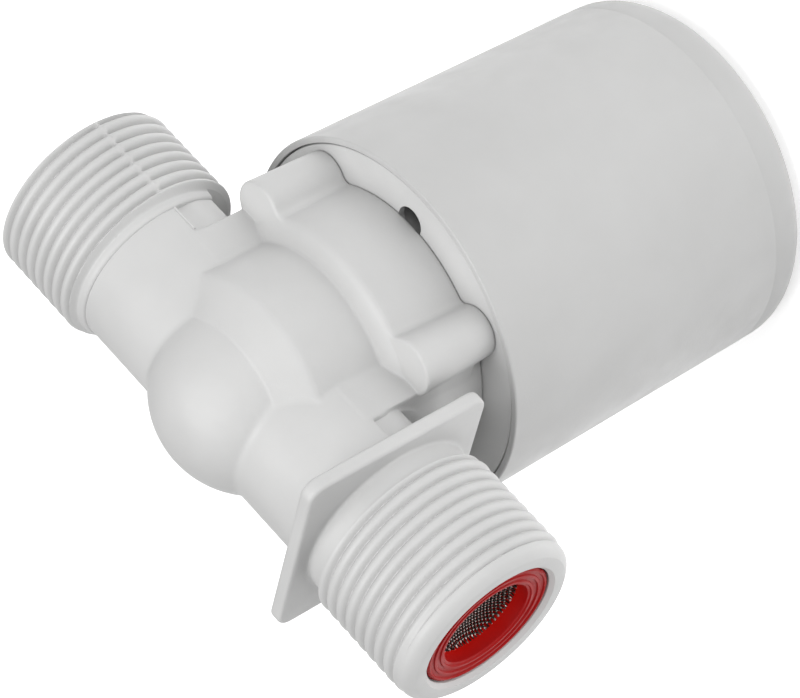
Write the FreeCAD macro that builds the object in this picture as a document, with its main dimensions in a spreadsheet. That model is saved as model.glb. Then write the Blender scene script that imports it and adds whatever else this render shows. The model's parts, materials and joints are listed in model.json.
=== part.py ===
"""Tank float valve: two in-line G3/4 ports, a diaphragm valve with a pilot, and a float in a can.

Frame: origin at the centre of the can's flat base, +Z up towards the dome, +X towards the inlet. Millimetres.
"""
import FreeCAD, Part
import math
import os
import re
import Sketcher
from FreeCAD import Placement, Rotation, Vector

# ---------------------------------------------------------------- driving dimensions
DIMENSIONS = {
    "pipe_height": (72.0, "height of the port axis over the can's base"),
    "thread_crest": (13.2, "G3/4 thread, crest radius"),
    "thread_chamfer": (0.9, "chamfer at a thread's open end"),
    "outlet_end": (38.0, "outlet face, distance from the valve axis"),
    "outlet_thread": (22.6, "inner end of the outlet thread"),
    "inlet_thread": (27.9, "inner end of the inlet thread"),
    "inlet_nose": (42.6, "outer end of the inlet thread, where its plain nose starts"),
    "inlet_end": (44.4, "inlet face, distance from the valve axis"),
    "collar_radius": (12.1, "plain collar next to a thread"),
    "pipe_radius": (11.6, "plain pipe between thread and drum"),
    "port_bore": (8.0, "water passage radius"),
    "nose_radius": (11.7, "outer radius at the inlet face"),
    "strainer_seat": (9.65, "pocket for the strainer's ring"),
    "strainer_bore": (8.6, "bore around the strainer's tube"),
    "flange_front": (24.2, "front face of the square flange"),
    "flange_thick": (2.0, "flange thickness"),
    "flange_side": (28.0, "flange side length"),
    "flange_shift": (0.8, "flange centre, offset from the port axis in Y and Z"),
    "flange_corner": (2.2, "flange corner radius"),
    "drum_radius": (16.4, "drum around the valve chamber"),
    "drum_edge": (2.9, "drum's upper edge, over the port axis"),
    "shoulder_radius": (12.6, "top of the drum's sloping shoulder"),
    "shoulder_edge": (6.8, "top of the shoulder, over the port axis"),
    "dome_radius": (13.4, "dome on top"),
    "dome_lift": (1.75, "dome centre, over the port axis"),
    "skirt_radius": (19.3, "clamping skirt"),
    "skirt_drop": (8.1, "skirt's outer upper edge, under the port axis"),
    "skirt_slope": (1.1, "fall of the skirt's upper face"),
    "skirt_chamfer": (0.8, "chamfer of the skirt's upper edge"),
    "lobe_x": (14.8, "screw lobe, distance from the axis along X"),
    "lobe_y": (13.7, "screw lobe, distance from the axis along Y"),
    "lobe_radius": (3.95, "lobe radius"),
    "block_half": (17.5, "half length of the block under the ports"),
    "recess_width": (4.5, "moulding recess between block and outlet collar"),
    "recess_radius": (10.0, "pipe radius left in the recesses"),
    "recess_top": (0.75, "upper edge of the recesses, under the port axis"),
    "ledge_half": (11.0, "half width of the flat-sided ledge left in the recesses"),
    "outlet_ledge": (7.2, "underside of the outlet recess's ledge, under the port axis"),
    "inlet_ledge": (5.4, "underside of the inlet recess's ledge, under the port axis"),
    "block_foot": (1.0, "block, depth inside the skirt"),
    "wall": (0.9, "wall between seat and inlet bore"),
    "drop_length": (5.4, "way down to the chamber, along X"),
    "drop_width": (11.0, "way down to the chamber, along Y"),
    "drop_height": (7.0, "way down to the chamber, height"),
    "room_start": (11.0, "dome cavity, distance on the outlet side"),
    "room_length": (17.0, "dome cavity, length"),
    "room_height": (14.0, "dome cavity, height"),
    "room_drop": (2.0, "dome cavity's floor, under the port axis"),
    "boss_depth": (11.0, "depth of the screw holes in the lobes"),
    "chamber_radius": (14.6, "inlet chamber around the seat"),
    "chamber_top": (62.5, "top of the inlet chamber"),
    "bead_pocket": (16.8, "pocket for the diaphragm's bead"),
    "bead_top": (54.8, "top of the bead pocket"),
    "seat_bore": (5.6, "main seat, inner radius"),
    "seat_outer": (7.8, "main seat, outer radius"),
    "seat_height": (58.0, "height of the seat's lip"),
    "dome_cavity": (10.5, "cavity in the dome"),
    "cover_top": (52.4, "top face of the cover disc"),
    "cover_thick": (3.0, "cover disc thickness"),
    "cover_radius": (24.15, "cover disc radius"),
    "pilot_chamber": (12.4, "pilot chamber radius"),
    "pilot_floor": (50.6, "floor of the pilot chamber"),
    "vent_radius": (2.1, "vent hole in the cover"),
    "vent_place": (19.4, "vent hole, distance from the axis"),
    "vent_relief": (2.9, "relief under the vent hole, radius"),
    "vent_skin": (0.9, "cover thickness left round the vent hole"),
    "pilot_rim": (1.2, "pilot chamber's rim, over the cover's top"),
    "snap_reach": (0.3, "cover's snap rib, radial height"),
    "ear_length": (4.6, "lever ear, along X"),
    "ear_width": (1.8, "lever ear, thickness"),
    "ear_gap": (3.0, "lever ear, distance from the middle plane"),
    "ear_below": (2.2, "lever ear, reach under the pivot"),
    "nozzle_boss": (3.0, "boss round the nozzle, radius"),
    "boss_drop": (2.0, "boss round the nozzle, height under the cover"),
    "nozzle_radius": (1.6, "nozzle shank"),
    "nozzle_head": (2.2, "nozzle head, radius"),
    "nozzle_head_thick": (0.4, "nozzle head, thickness"),
    "nozzle_collar": (1.9, "nozzle collar, radius"),
    "nozzle_bore": (0.45, "pilot bore, radius"),
    "nozzle_tip": (1.0, "pilot seat, outer radius"),
    "tip_height": (2.4, "pilot seat, over the lever's pivot"),
    "screw_radius": (1.15, "cover screw shank"),
    "screw_length": (10.6, "cover screw, full shank"),
    "screw_point": (12.0, "cover screw, length to the point"),
    "head_radius": (2.3, "cover screw head, radius"),
    "head_crown": (1.9, "cover screw head, flat radius"),
    "head_height": (1.7, "cover screw head, height"),
    "head_side": (1.2, "cover screw head, height of its side"),
    "cross_length": (2.8, "cross slot, length"),
    "cross_width": (0.6, "cross slot, width"),
    "cross_depth": (0.9, "cross slot, depth"),
    "bead_play": (0.1, "play of the diaphragm's bead"),
    "rubber_play": (0.05, "gap between the closed diaphragm and the seat"),
    "rubber_thick": (1.5, "diaphragm's flat centre"),
    "web_outer": (13.6, "diaphragm web, outer radius on top"),
    "web_inner": (11.4, "diaphragm web, inner radius on top"),
    "web_under_outer": (13.0, "diaphragm web, outer radius below"),
    "web_under_inner": (10.5, "diaphragm web, inner radius below"),
    "bead_skin": (0.9, "rubber between bead pocket and pilot chamber"),
    "stud_hole": (1.35, "hole in the middle of the diaphragm"),
    "bleed_radius": (0.6, "bleed hole"),
    "bleed_place": (9.4, "bleed hole, distance from the axis"),
    "bleed_wire": (0.35, "bleed pin, radius"),
    "bleed_length": (10.0, "bleed pin, length"),
    "bleed_depth": (0.8, "bleed pin, depth in the cover"),
    "core_radius": (7.9, "backing disc, radius"),
    "core_low": (2.9, "backing disc's underside, under the seat"),
    "core_hub": (2.4, "hub of the backing disc and of the guide, radius"),
    "core_hub_low": (3.1, "hub's underside, under the seat"),
    "core_gap": (0.05, "gap between backing disc and rubber"),
    "core_bore": (0.85, "bore for the core screw"),
    "stud_radius": (1.25, "stud through the rubber, radius"),
    "stud_height": (1.4, "stud's top, over the seat"),
    "guide_bore": (1.3, "guide's socket for the stud, radius"),
    "guide_socket": (1.5, "guide's socket for the stud, depth"),
    "guide_height": (6.5, "guide, height over the seat"),
    "guide_play": (0.15, "play of the guide's wings in the seat bore"),
    "wing_thick": (1.2, "guide wing, thickness"),
    "wing_start": (2.0, "guide wing, inner radius"),
    "wing_height": (6.0, "guide wing, height"),
    "wing_low": (0.5, "guide wing's lower edge, over the seat"),
    "core_screw_radius": (0.75, "core screw shank"),
    "core_screw_top": (4.4, "core screw's end, over the seat"),
    "core_screw_end": (4.6, "end of the hole for the core screw, over the seat"),
    "core_head": (1.6, "core screw head, radius"),
    "core_head_low": (4.0, "core screw head, under the seat"),
    "core_slot": (0.4, "core screw's slot, width and depth"),
    "spring_wire": (0.3, "closing spring, wire radius"),
    "spring_coil": (3.4, "closing spring, coil radius"),
    "spring_turns": (2.5, "closing spring, turns"),
    "spring_play": (0.02, "closing spring, gap at each end"),
    "pivot_x": (-16.0, "lever pivot, along X"),
    "pivot_z": (43.6, "lever pivot, height"),
    "lever_length": (16.0, "pivot to float link"),
    "pad_arm": (9.0, "pivot to pilot pad"),
    "lever_droop": (10.0, "lever angle with the float down, degrees"),
    "pin_radius": (1.0, "lever pin and link pin"),
    "pin_play": (0.05, "radial play of the pins"),
    "lever_width": (3.6, "lever, width"),
    "lever_thick": (2.4, "lever, thickness"),
    "hub_radius": (2.6, "lever hub, radius"),
    "hub_width": (5.6, "lever hub, width"),
    "eye_radius": (2.4, "lever eye, radius"),
    "link_travel": (0.8, "length of the lever's link slot"),
    "pad_boss": (2.9, "pad holder, radius and height"),
    "pad_pocket": (2.05, "pocket for the pad, radius"),
    "pad_radius": (2.0, "pilot pad, radius"),
    "pad_low": (0.4, "pilot pad's back, over the lever's middle plane"),
    "pad_side": (2.1, "pilot pad's edge, over the lever's middle plane"),
    "pad_face": (2.38, "pilot pad's face, over the lever's middle plane"),
    "pad_crown": (1.7, "pilot pad's face, radius"),
    "lever_pin_length": (11.0, "lever pin, length"),
    "link_pin_length": (9.6, "link pin, length"),
    "clevis_length": (4.6, "clevis, along X"),
    "clevis_half": (4.3, "clevis, half width"),
    "clevis_base": (1.6, "clevis base, thickness"),
    "cheek_thick": (2.2, "clevis cheek, thickness"),
    "peg_radius": (1.95, "stem peg, radius"),
    "peg_depth": (4.6, "stem peg, depth in the lid"),
    "peg_play": (0.05, "radial play of the stem peg"),
    "peg_end": (0.1, "gap under the stem peg"),
    "float_radius": (21.0, "float radius"),
    "float_bottom": (2.7, "float's underside, resting"),
    "float_top": (36.0, "float lid's top, resting"),
    "float_wall": (1.3, "float wall"),
    "lid_thick": (1.6, "float lid thickness"),
    "lid_chamfer": (0.4, "float lid's upper edge"),
    "lid_spigot": (1.1, "float lid's spigot, thickness"),
    "lid_spigot_drop": (1.6, "float lid's spigot, depth"),
    "lid_play": (0.1, "play between lid and shell"),
    "socket_radius": (4.0, "float lid's socket for the stem, outer radius"),
    "socket_depth": (6.0, "float lid's socket for the stem, depth"),
    "float_chamfer": (2.0, "float's lower edge"),
    "float_corner": (1.2, "float's lower edge, inside"),
    "cup_rim_radius": (25.55, "can, outer radius at the rim"),
    "cup_base_radius": (24.7, "can, outer radius at the base"),
    "cup_rim": (52.6, "can, rim height"),
    "cup_wall": (1.7, "can wall"),
    "cup_floor": (2.2, "can floor"),
    "cup_round": (4.2, "rounding of the can's base edge"),
    "drain_radius": (1.5, "drain hole in the can's floor"),
    "drain_place": (12.0, "drain hole, distance from the axis"),
    "ring_radius": (9.5, "strainer ring, outer radius"),
    "ring_hole": (6.5, "strainer, inner radius"),
    "ring_face": (43.9, "strainer ring's face, from the valve axis"),
    "ring_thick": (1.7, "strainer ring's thickness"),
    "ring_step": (0.25, "step in the strainer ring's face"),
    "ring_play": (0.15, "play round the strainer"),
    "seat_depth": (1.8, "depth of the pocket for the strainer's ring"),
    "strainer_depth": (7.4, "depth of the bore around the strainer's tube"),
    "mouth_chamfer": (0.5, "chamfer at the inlet's mouth"),
    "tube_end": (38.4, "inner end of the strainer's tube, from the valve axis"),
    "mesh_edge": (42.4, "mesh rim, from the valve axis"),
    "mesh_depth": (4.8, "depth of the mesh dome"),
    "mesh_thick": (0.35, "mesh thickness"),
    "mesh_play": (0.02, "play between mesh and ring"),
    "over": (1.0, "how far a cutting tool reaches past a face"),
    "cup_play": (0.1, "play between can and cover"),
    "groove_reach": (0.4, "can's snap groove, radius over the cover's"),
    "ledge_reach": (0.6, "can's ledge under the cover"),
    "ledge_play": (0.02, "play between can's ledge and cover"),
    "snap_high": (0.9, "snap groove's upper edge, under the cover's top"),
    "snap_middle": (1.5, "snap groove and rib, under the cover's top"),
    "snap_low": (2.1, "snap groove's lower edge, under the cover's top"),
    "snap_flat": (0.05, "snap groove's floor, half height"),
    "rib_half": (0.5, "snap rib, half height"),
}
VALUE = {alias: number for alias, (number, note) in DIMENSIONS.items()}
LOBES = (("1", "1"), ("-1", "1"), ("-1", "-1"), ("1", "-1"))
FULL_TURN = 360.0
SKETCH_START = 50.0
SKETCH_SPREAD = 20.0
ALONG = 0.9
ROUND_STEPS = (30, 60)

doc = FreeCAD.newDocument("float_valve")
sheet = doc.addObject("Spreadsheet::Sheet", "dims")
for row, (alias, (number, note)) in enumerate(DIMENSIONS.items(), start=1):
    sheet.set(f"A{row}", note)
    sheet.set(f"B{row}", str(number))
    sheet.setAlias(f"B{row}", alias)
doc.recompute()

WORD = re.compile(r"[a-z][a-z_]*")


def cell(formula):
    """The formula with each alias written as a cell of the sheet."""
    def spell(match):
        word = match.group()
        return f"dims.{word}" if word in VALUE else word

    return WORD.sub(spell, formula)


# ---------------------------------------------------------------- building helpers
def bind(thing, **formulas):
    """Bind properties to formulas of the sheet."""
    for name, formula in formulas.items():
        thing.setExpression(name, cell(formula))
    return thing


def put(thing, x="0", y="0", z="0"):
    """Bind the placement's base."""
    for axis, formula in zip("xyz", (x, y, z)):
        thing.setExpression(f".Placement.Base.{axis}", cell(formula))
    return thing


def along_x(thing):
    """Turn a shape that stands along Z so that it lies along X."""
    thing.Placement = Placement(Vector(), Rotation(Vector(0, 1, 0), 90))
    return thing


def along_y(thing):
    """Turn a shape that stands along Z so that it lies along Y."""
    thing.Placement = Placement(Vector(), Rotation(Vector(1, 0, 0), -90))
    return thing


def box(name, length, width, height):
    return bind(doc.addObject("Part::Box", name), Length=length, Width=width, Height=height)


def cylinder(name, radius, height):
    return bind(doc.addObject("Part::Cylinder", name), Radius=radius, Height=height)


def sphere(name, radius):
    return bind(doc.addObject("Part::Sphere", name), Radius=radius)


def fuse(name, *things):
    result = doc.addObject("Part::MultiFuse", name)
    result.Shapes = list(things)
    result.Refine = True
    return result


def cut(name, base, *tools):
    result = doc.addObject("Part::Cut", name)
    result.Base = base
    result.Tool = tools[0] if len(tools) == 1 else fuse(f"{name}_tools", *tools)
    result.Refine = True
    return result


def common(name, first, second):
    result = doc.addObject("Part::Common", name)
    result.Base = first
    result.Tool = second
    return result


def place_corner(sketch, corner, kind, formula, axis):
    """Fix one coordinate of a corner: on an axis, or at a formula of the sheet."""
    if formula == "0":
        sketch.addConstraint(Sketcher.Constraint("PointOnObject", corner, 1, axis))
        return
    spot = sketch.getPoint(corner, 1)
    start = spot.x if kind == "DistanceX" else spot.y
    number = sketch.addConstraint(Sketcher.Constraint(kind, -1, 1, corner, 1, start))
    sketch.setExpression(f"Constraints[{number}]", cell(formula))


def revolved(name, axis, corners):
    """A body turned about Z or X. Each corner is (radius, height) about Z, or (along, radius) about X."""
    body = doc.addObject("PartDesign::Body", name)
    sketch = body.newObject("Sketcher::SketchObject", f"{name}_outline")
    plane = next(item for item in body.Origin.OriginFeatures if item.Role == "XZ_Plane")
    sketch.AttachmentSupport = (plane, [""])
    sketch.MapMode = "FlatFace"
    count = len(corners)
    turns = [2 * math.pi * index / count for index in range(count)]
    spots = [
        Vector(SKETCH_START + SKETCH_SPREAD * math.cos(turn), SKETCH_START + SKETCH_SPREAD * math.sin(turn), 0)
        for turn in turns
    ]
    for index in range(count):
        sketch.addGeometry(Part.LineSegment(spots[index], spots[(index + 1) % count]), False)
    for index in range(count):
        sketch.addConstraint(Sketcher.Constraint("Coincident", index, 2, (index + 1) % count, 1))
    for index, (across, up) in enumerate(corners):
        place_corner(sketch, index, "DistanceX", across, -2)
        place_corner(sketch, index, "DistanceY", up, -1)
    turned = body.newObject("PartDesign::Revolution", f"{name}_turned")
    turned.Profile = sketch
    turned.ReferenceAxis = (sketch, ["V_Axis" if axis == "Z" else "H_Axis"])
    turned.Angle = FULL_TURN
    doc.recompute()
    return body


def lobe_centre(side):
    """Formulas of a screw lobe's centre; side is its pair of signs."""
    return f"{side[0]} * lobe_x", f"{side[1]} * lobe_y"


def node(thing, label):
    """Name a finished sub-part after its file."""
    thing.Label = label
    NODES.append(thing)
    return thing


NODES = []


# ---------------------------------------------------------------- valve body
def ports_outside():
    """The two ports and the pipe between them, turned about X. Threads are plain at their crest radius."""
    corners = [
        ("-1 * outlet_end", "0"),
        ("-1 * outlet_end", "thread_crest - thread_chamfer"),
        ("-1 * outlet_end + thread_chamfer", "thread_crest"),
        ("-1 * outlet_thread", "thread_crest"),
        ("-1 * outlet_thread", "collar_radius"),
        ("-1 * (block_half + recess_width)", "collar_radius"),
        ("-1 * (block_half + recess_width)", "pipe_radius"),
        ("flange_front - flange_thick", "pipe_radius"),
        ("flange_front - flange_thick", "collar_radius"),
        ("inlet_thread", "collar_radius"),
        ("inlet_thread", "thread_crest"),
        ("inlet_nose", "thread_crest"),
        ("inlet_end", "nose_radius"),
        ("inlet_end", "0"),
    ]
    return put(revolved("ports_outside", "X", corners), z="pipe_height")


def drum_outside():
    """Skirt, drum and sloping shoulder, turned about Z."""
    corners = [
        ("0", "cover_top"),
        ("skirt_radius", "cover_top"),
        ("skirt_radius", "pipe_height - skirt_drop - skirt_chamfer"),
        ("skirt_radius - skirt_chamfer", "pipe_height - skirt_drop"),
        ("drum_radius", "pipe_height - skirt_drop + skirt_slope"),
        ("drum_radius", "pipe_height + drum_edge"),
        ("shoulder_radius", "pipe_height + shoulder_edge"),
        ("0", "pipe_height + shoulder_edge"),
    ]
    return revolved("drum_outside", "Z", corners)


def flange_outside():
    """Square plate with rounded corners on the inlet."""
    plate = put(
        box("flange_plate", "flange_thick", "flange_side", "flange_side"),
        x="flange_front - flange_thick",
        y="flange_shift - flange_side / 2",
        z="pipe_height + flange_shift - flange_side / 2",
    )
    doc.recompute()
    rounded = doc.addObject("Part::Fillet", "flange_rounded")
    rounded.Base = plate
    radius = VALUE["flange_corner"]
    corners = [
        (number, radius, radius)
        for number, edge in enumerate(plate.Shape.Edges, start=1)
        if abs(edge.tangentAt(edge.FirstParameter).x) > ALONG
    ]
    rounded.Edges = corners
    plate.Visibility = False
    return rounded


def lobes_outside():
    lobes = []
    for number, side in enumerate(LOBES, start=1):
        height = "pipe_height - skirt_drop - cover_top"
        lobes.append(put(cylinder(f"lobe_{number}", "lobe_radius", height), *lobe_centre(side), "cover_top"))
    return lobes


def block_outside():
    """The ports' flat-sided block, down to the skirt."""
    block = box("block", "2 * block_half", "2 * pipe_radius", "skirt_drop + block_foot")
    return put(block, "-1 * block_half", "-1 * pipe_radius", "pipe_height - skirt_drop - block_foot")


def recess(name, start, width, drop):
    """Moulding recess on the float's side: only a round core with a flat-sided ledge is left there."""
    outer = put(
        box(f"{name}_box", width, "3 * pipe_radius", "2 * pipe_radius - recess_top"),
        start,
        "-1.5 * pipe_radius",
        "pipe_height - 2 * pipe_radius",
    )
    core = put(along_x(cylinder(f"{name}_core", "recess_radius", width)), start, "0", "pipe_height")
    ledge = box(f"{name}_ledge", width, "2 * ledge_half", drop)
    put(ledge, start, "-1 * ledge_half", f"pipe_height - {drop}")
    return cut(name, outer, core, ledge)


def inlet_passage():
    """Strainer pocket and inlet bore, turned about X, with the way down to the chamber."""
    corners = [
        ("seat_outer + wall", "0"),
        ("seat_outer + wall", "port_bore"),
        ("ring_face - strainer_depth", "port_bore"),
        ("ring_face - strainer_depth", "strainer_bore"),
        ("ring_face - seat_depth", "strainer_bore"),
        ("ring_face - seat_depth", "strainer_seat"),
        ("ring_face", "strainer_seat"),
        ("inlet_end", "strainer_seat + mouth_chamfer"),
        ("inlet_end + over", "strainer_seat + mouth_chamfer"),
        ("inlet_end + over", "0"),
    ]
    bore = put(revolved("inlet_bore", "X", corners), z="pipe_height")
    drop = box("inlet_drop", "drop_length", "drop_width", "drop_height")
    put(drop, "seat_outer + wall", "-1 * drop_width / 2", "chamber_top - over")
    return [bore, drop]


def outlet_passage():
    """Seat bore, dome cavity and outlet bore."""
    seat = cylinder("seat_passage", "seat_bore", "pipe_height - seat_height + over")
    put(seat, z="seat_height - over")
    ball = put(sphere("dome_hollow", "dome_cavity"), z="pipe_height + dome_lift")
    window = box("dome_window", "room_length", "4 * dome_cavity", "room_height")
    put(window, "-1 * room_start", "-2 * dome_cavity", "pipe_height - room_drop")
    cavity = common("dome_room", ball, window)
    bore = along_x(cylinder("outlet_bore", "port_bore", "outlet_end + over"))
    put(bore, "-1 * outlet_end - over", "0", "pipe_height")
    return [seat, cavity, bore]


def chamber():
    """Inlet chamber around the seat, and the pocket for the diaphragm's bead, turned about Z."""
    lip = "(seat_outer - seat_bore) / 4"
    corners = [
        ("0", "cover_top - over"),
        ("bead_pocket", "cover_top - over"),
        ("bead_pocket", "bead_top"),
        ("chamber_radius", "bead_top"),
        ("chamber_radius", "chamber_top"),
        ("seat_outer", "chamber_top"),
        ("seat_outer", f"seat_height + {lip}"),
        (f"seat_outer - {lip}", "seat_height"),
        ("0", "seat_height"),
    ]
    return revolved("chamber", "Z", corners)


def screw_holes(name, radius, bottom, height):
    holes = []
    for number, side in enumerate(LOBES, start=1):
        holes.append(put(cylinder(f"{name}_{number}", radius, height), *lobe_centre(side), bottom))
    return holes


def valve_body():
    dome = put(sphere("dome", "dome_radius"), z="pipe_height + dome_lift")
    outside = fuse(
        "body_outside",
        ports_outside(),
        drum_outside(),
        dome,
        flange_outside(),
        block_outside(),
        *lobes_outside(),
    )
    holes = screw_holes("boss_hole", "screw_radius + pin_play", "cover_top - over", "boss_depth")
    recesses = [
        recess("outlet_recess", "-1 * (block_half + recess_width)", "recess_width", "outlet_ledge"),
        recess("inlet_recess", "block_half", "flange_front - flange_thick - block_half", "inlet_ledge"),
    ]
    inside = inlet_passage() + outlet_passage() + [chamber()] + holes + recesses
    return node(cut("body_shape", outside, *inside), "valve_body")


# ---------------------------------------------------------------- inlet strainer
def strainer_frame():
    """Red ring with a stepped face, and the tube behind it that guards the mesh."""
    corners = [
        ("ring_face", "ring_radius"),
        ("ring_face", "(ring_radius + ring_hole) / 2"),
        ("ring_face - ring_step", "(ring_radius + ring_hole) / 2"),
        ("ring_face - ring_step", "ring_hole"),
        ("tube_end", "ring_hole"),
        ("tube_end", "strainer_bore - ring_play"),
        ("ring_face - ring_thick", "strainer_bore - ring_play"),
        ("ring_face - ring_thick", "ring_radius"),
    ]
    return node(put(revolved("strainer_ring", "X", corners), z="pipe_height"), "strainer_frame")


def strainer_mesh():
    """Wire dome in the ring's hole, bulging inwards."""
    edge = "(ring_hole - mesh_play)"
    steps = 6
    outer = []
    inner = []
    for step in range(steps + 1):
        turn = f"{90 * step / steps} deg"
        on_axis = step == steps
        place = f"mesh_edge - mesh_depth * sin({turn})"
        outer.append((place, "0" if on_axis else f"{edge} * cos({turn})"))
        place = f"mesh_edge - (mesh_depth - mesh_thick) * sin({turn})"
        inner.append((place, "0" if on_axis else f"({edge} - mesh_thick) * cos({turn})"))
    corners = outer + list(reversed(inner))
    return node(put(revolved("mesh_dome", "X", corners), z="pipe_height"), "strainer_mesh")


# ---------------------------------------------------------------- diaphragm
def main_diaphragm():
    """Rubber diaphragm: bead, sloping web and flat centre, with the centre hole and the bleed hole."""
    corners = [
        ("bead_pocket - bead_play", "cover_top"),
        ("bead_pocket - bead_play", "bead_top - bead_play"),
        ("web_outer", "bead_top - bead_play"),
        ("web_inner", "seat_height - rubber_play"),
        ("stud_hole", "seat_height - rubber_play"),
        ("stud_hole", "seat_height - rubber_thick"),
        ("web_under_inner", "seat_height - rubber_thick"),
        ("web_under_outer", "bead_top - bead_skin"),
        ("chamber_radius + bead_play", "bead_top - bead_skin"),
        ("chamber_radius + bead_play", "cover_top"),
    ]
    rubber = revolved("rubber", "Z", corners)
    bleed = cylinder("bleed_hole", "bleed_radius", "4 * rubber_thick")
    put(bleed, "bleed_place", "0", "bead_top - over")
    return node(cut("rubber_shape", rubber, bleed), "main_diaphragm")


def diaphragm_core():
    """Backing disc with the stud that passes through the rubber."""
    corners = [
        ("core_bore", "seat_height - core_hub_low"),
        ("core_hub", "seat_height - core_hub_low"),
        ("core_hub", "seat_height - core_low"),
        ("core_radius", "seat_height - core_low"),
        ("core_radius", "seat_height - rubber_thick - core_gap"),
        ("stud_radius", "seat_height - rubber_thick - core_gap"),
        ("stud_radius", "seat_height + stud_height"),
        ("core_bore", "seat_height + stud_height"),
    ]
    return node(revolved("core", "Z", corners), "diaphragm_core")


def diaphragm_guide():
    """Hub with four wings that run in the seat bore."""
    hub_corners = [
        ("guide_bore", "seat_height"),
        ("core_hub", "seat_height"),
        ("core_hub", "seat_height + guide_height"),
        ("0", "seat_height + guide_height"),
        ("0", "seat_height + core_screw_end"),
        ("core_screw_radius", "seat_height + core_screw_end"),
        ("core_screw_radius", "seat_height + guide_socket"),
        ("guide_bore", "seat_height + guide_socket"),
    ]
    hub = revolved("guide_hub", "Z", hub_corners)
    wings = []
    for number, angle in enumerate(range(0, 360, 90), start=1):
        wing = box(f"wing_{number}", "seat_bore - guide_play - wing_start", "wing_thick", "wing_height")
        wing.Placement = Placement(Vector(), Rotation(Vector(0, 0, 1), angle))
        x = f"wing_start * cos({angle} deg) + wing_thick / 2 * sin({angle} deg)"
        y = f"wing_start * sin({angle} deg) - wing_thick / 2 * cos({angle} deg)"
        wings.append(put(wing, x, y, "seat_height + wing_low"))
    return node(fuse("guide_shape", hub, *wings), "diaphragm_guide")


def core_screw():
    """Small slotted pan-head screw from below, through core and rubber into the guide."""
    corners = [
        ("0", "seat_height - core_head_low"),
        ("core_head", "seat_height - core_head_low"),
        ("core_head", "seat_height - core_hub_low"),
        ("core_screw_radius", "seat_height - core_hub_low"),
        ("core_screw_radius", "seat_height + core_screw_top"),
        ("0", "seat_height + core_screw_top"),
    ]
    slot = box("core_screw_slot", "3 * core_head", "core_slot", "core_slot")
    put(slot, "-1.5 * core_head", "-1 * core_slot / 2", "seat_height - core_head_low")
    return node(cut("core_screw_shape", revolved("core_screw_blank", "Z", corners), slot), "core_screw")


def diaphragm_spring():
    """Closing spring between cover and core, a helix swept with a round wire."""
    margin = VALUE["spring_wire"] + VALUE["spring_play"]
    low = VALUE["pilot_floor"] + margin
    high = VALUE["seat_height"] - VALUE["core_low"] - margin
    path = Part.makeHelix((high - low) / VALUE["spring_turns"], high - low, VALUE["spring_coil"])
    first = path.Edges[0]
    start = first.valueAt(first.FirstParameter)
    section = Part.Wire(Part.makeCircle(VALUE["spring_wire"], start, first.tangentAt(first.FirstParameter)))
    spring = doc.addObject("Part::Feature", "closing_spring")
    spring.Shape = Part.Wire(path.Edges).makePipeShell([section], True, True)
    spring.Placement = Placement(Vector(0, 0, low), Rotation())
    return node(spring, "diaphragm_spring")


def bleed_pin():
    """Wire that keeps the bleed hole clean, fixed in the cover."""
    pin = cylinder("bleed_wire_shape", "bleed_wire", "bleed_length")
    return node(put(pin, "bleed_place", "0", "pilot_floor - bleed_depth"), "bleed_pin")


# ---------------------------------------------------------------- cover
def cover_plate():
    """Lid of the pilot chamber, with the screw holes, vent, nozzle boss and lever ears."""
    bottom = "cover_top - cover_thick"
    nozzle_x = "pivot_x + pad_arm"
    corners = [
        ("0", "pilot_floor"),
        ("pilot_chamber", "pilot_floor"),
        ("pilot_chamber", "cover_top + pilot_rim"),
        ("chamber_radius - 2 * bead_play", "cover_top + pilot_rim"),
        ("chamber_radius - 2 * bead_play", "cover_top"),
        ("cover_radius", "cover_top"),
        ("cover_radius", "cover_top - snap_middle + rib_half"),
        ("cover_radius + snap_reach", "cover_top - snap_middle"),
        ("cover_radius", "cover_top - snap_middle - rib_half"),
        ("cover_radius", bottom),
        ("0", bottom),
    ]
    disc = revolved("cover_disc", "Z", corners)
    boss = cylinder("nozzle_boss_shape", "nozzle_boss", "boss_drop + cover_thick / 4")
    put(boss, nozzle_x, "0", f"{bottom} - boss_drop")
    ears = []
    ear_height = f"{bottom} - pivot_z + ear_below + cover_thick / 4"
    for number, side in enumerate(("ear_gap", "-1 * (ear_gap + ear_width)"), start=1):
        ear = box(f"ear_{number}", "ear_length", "ear_width", ear_height)
        ears.append(put(ear, "pivot_x - ear_length / 2", side, "pivot_z - ear_below"))
    outside = fuse("cover_outside", disc, boss, *ears)
    vent = cylinder("vent_hole", "vent_radius", "cover_thick + 2 * over")
    put(vent, "0", "vent_place", f"{bottom} - over")
    relief = cylinder("vent_relief_shape", "vent_relief", "cover_thick + over - vent_skin")
    put(relief, "0", "vent_place", f"{bottom} - over")
    nozzle_hole = cylinder("nozzle_hole", "nozzle_radius", "cover_thick + boss_drop + 2 * over")
    put(nozzle_hole, nozzle_x, "0", f"{bottom} - boss_drop - over")
    wire_hole = cylinder("wire_hole", "bleed_wire", "over")
    put(wire_hole, "bleed_place", "0", "pilot_floor - bleed_depth")
    pin_hole = along_y(cylinder("ear_hole", "pin_radius", "lever_pin_length + 2 * over"))
    put(pin_hole, "pivot_x", "-1 * (lever_pin_length / 2 + over)", "pivot_z")
    clearance = "screw_radius + 5 * pin_play"
    holes = screw_holes("cover_hole", clearance, f"{bottom} - over", "cover_thick + 2 * over")
    tools = [vent, relief, nozzle_hole, wire_hole, pin_hole] + holes
    return node(cut("cover_shape", outside, *tools), "cover_plate")


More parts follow.
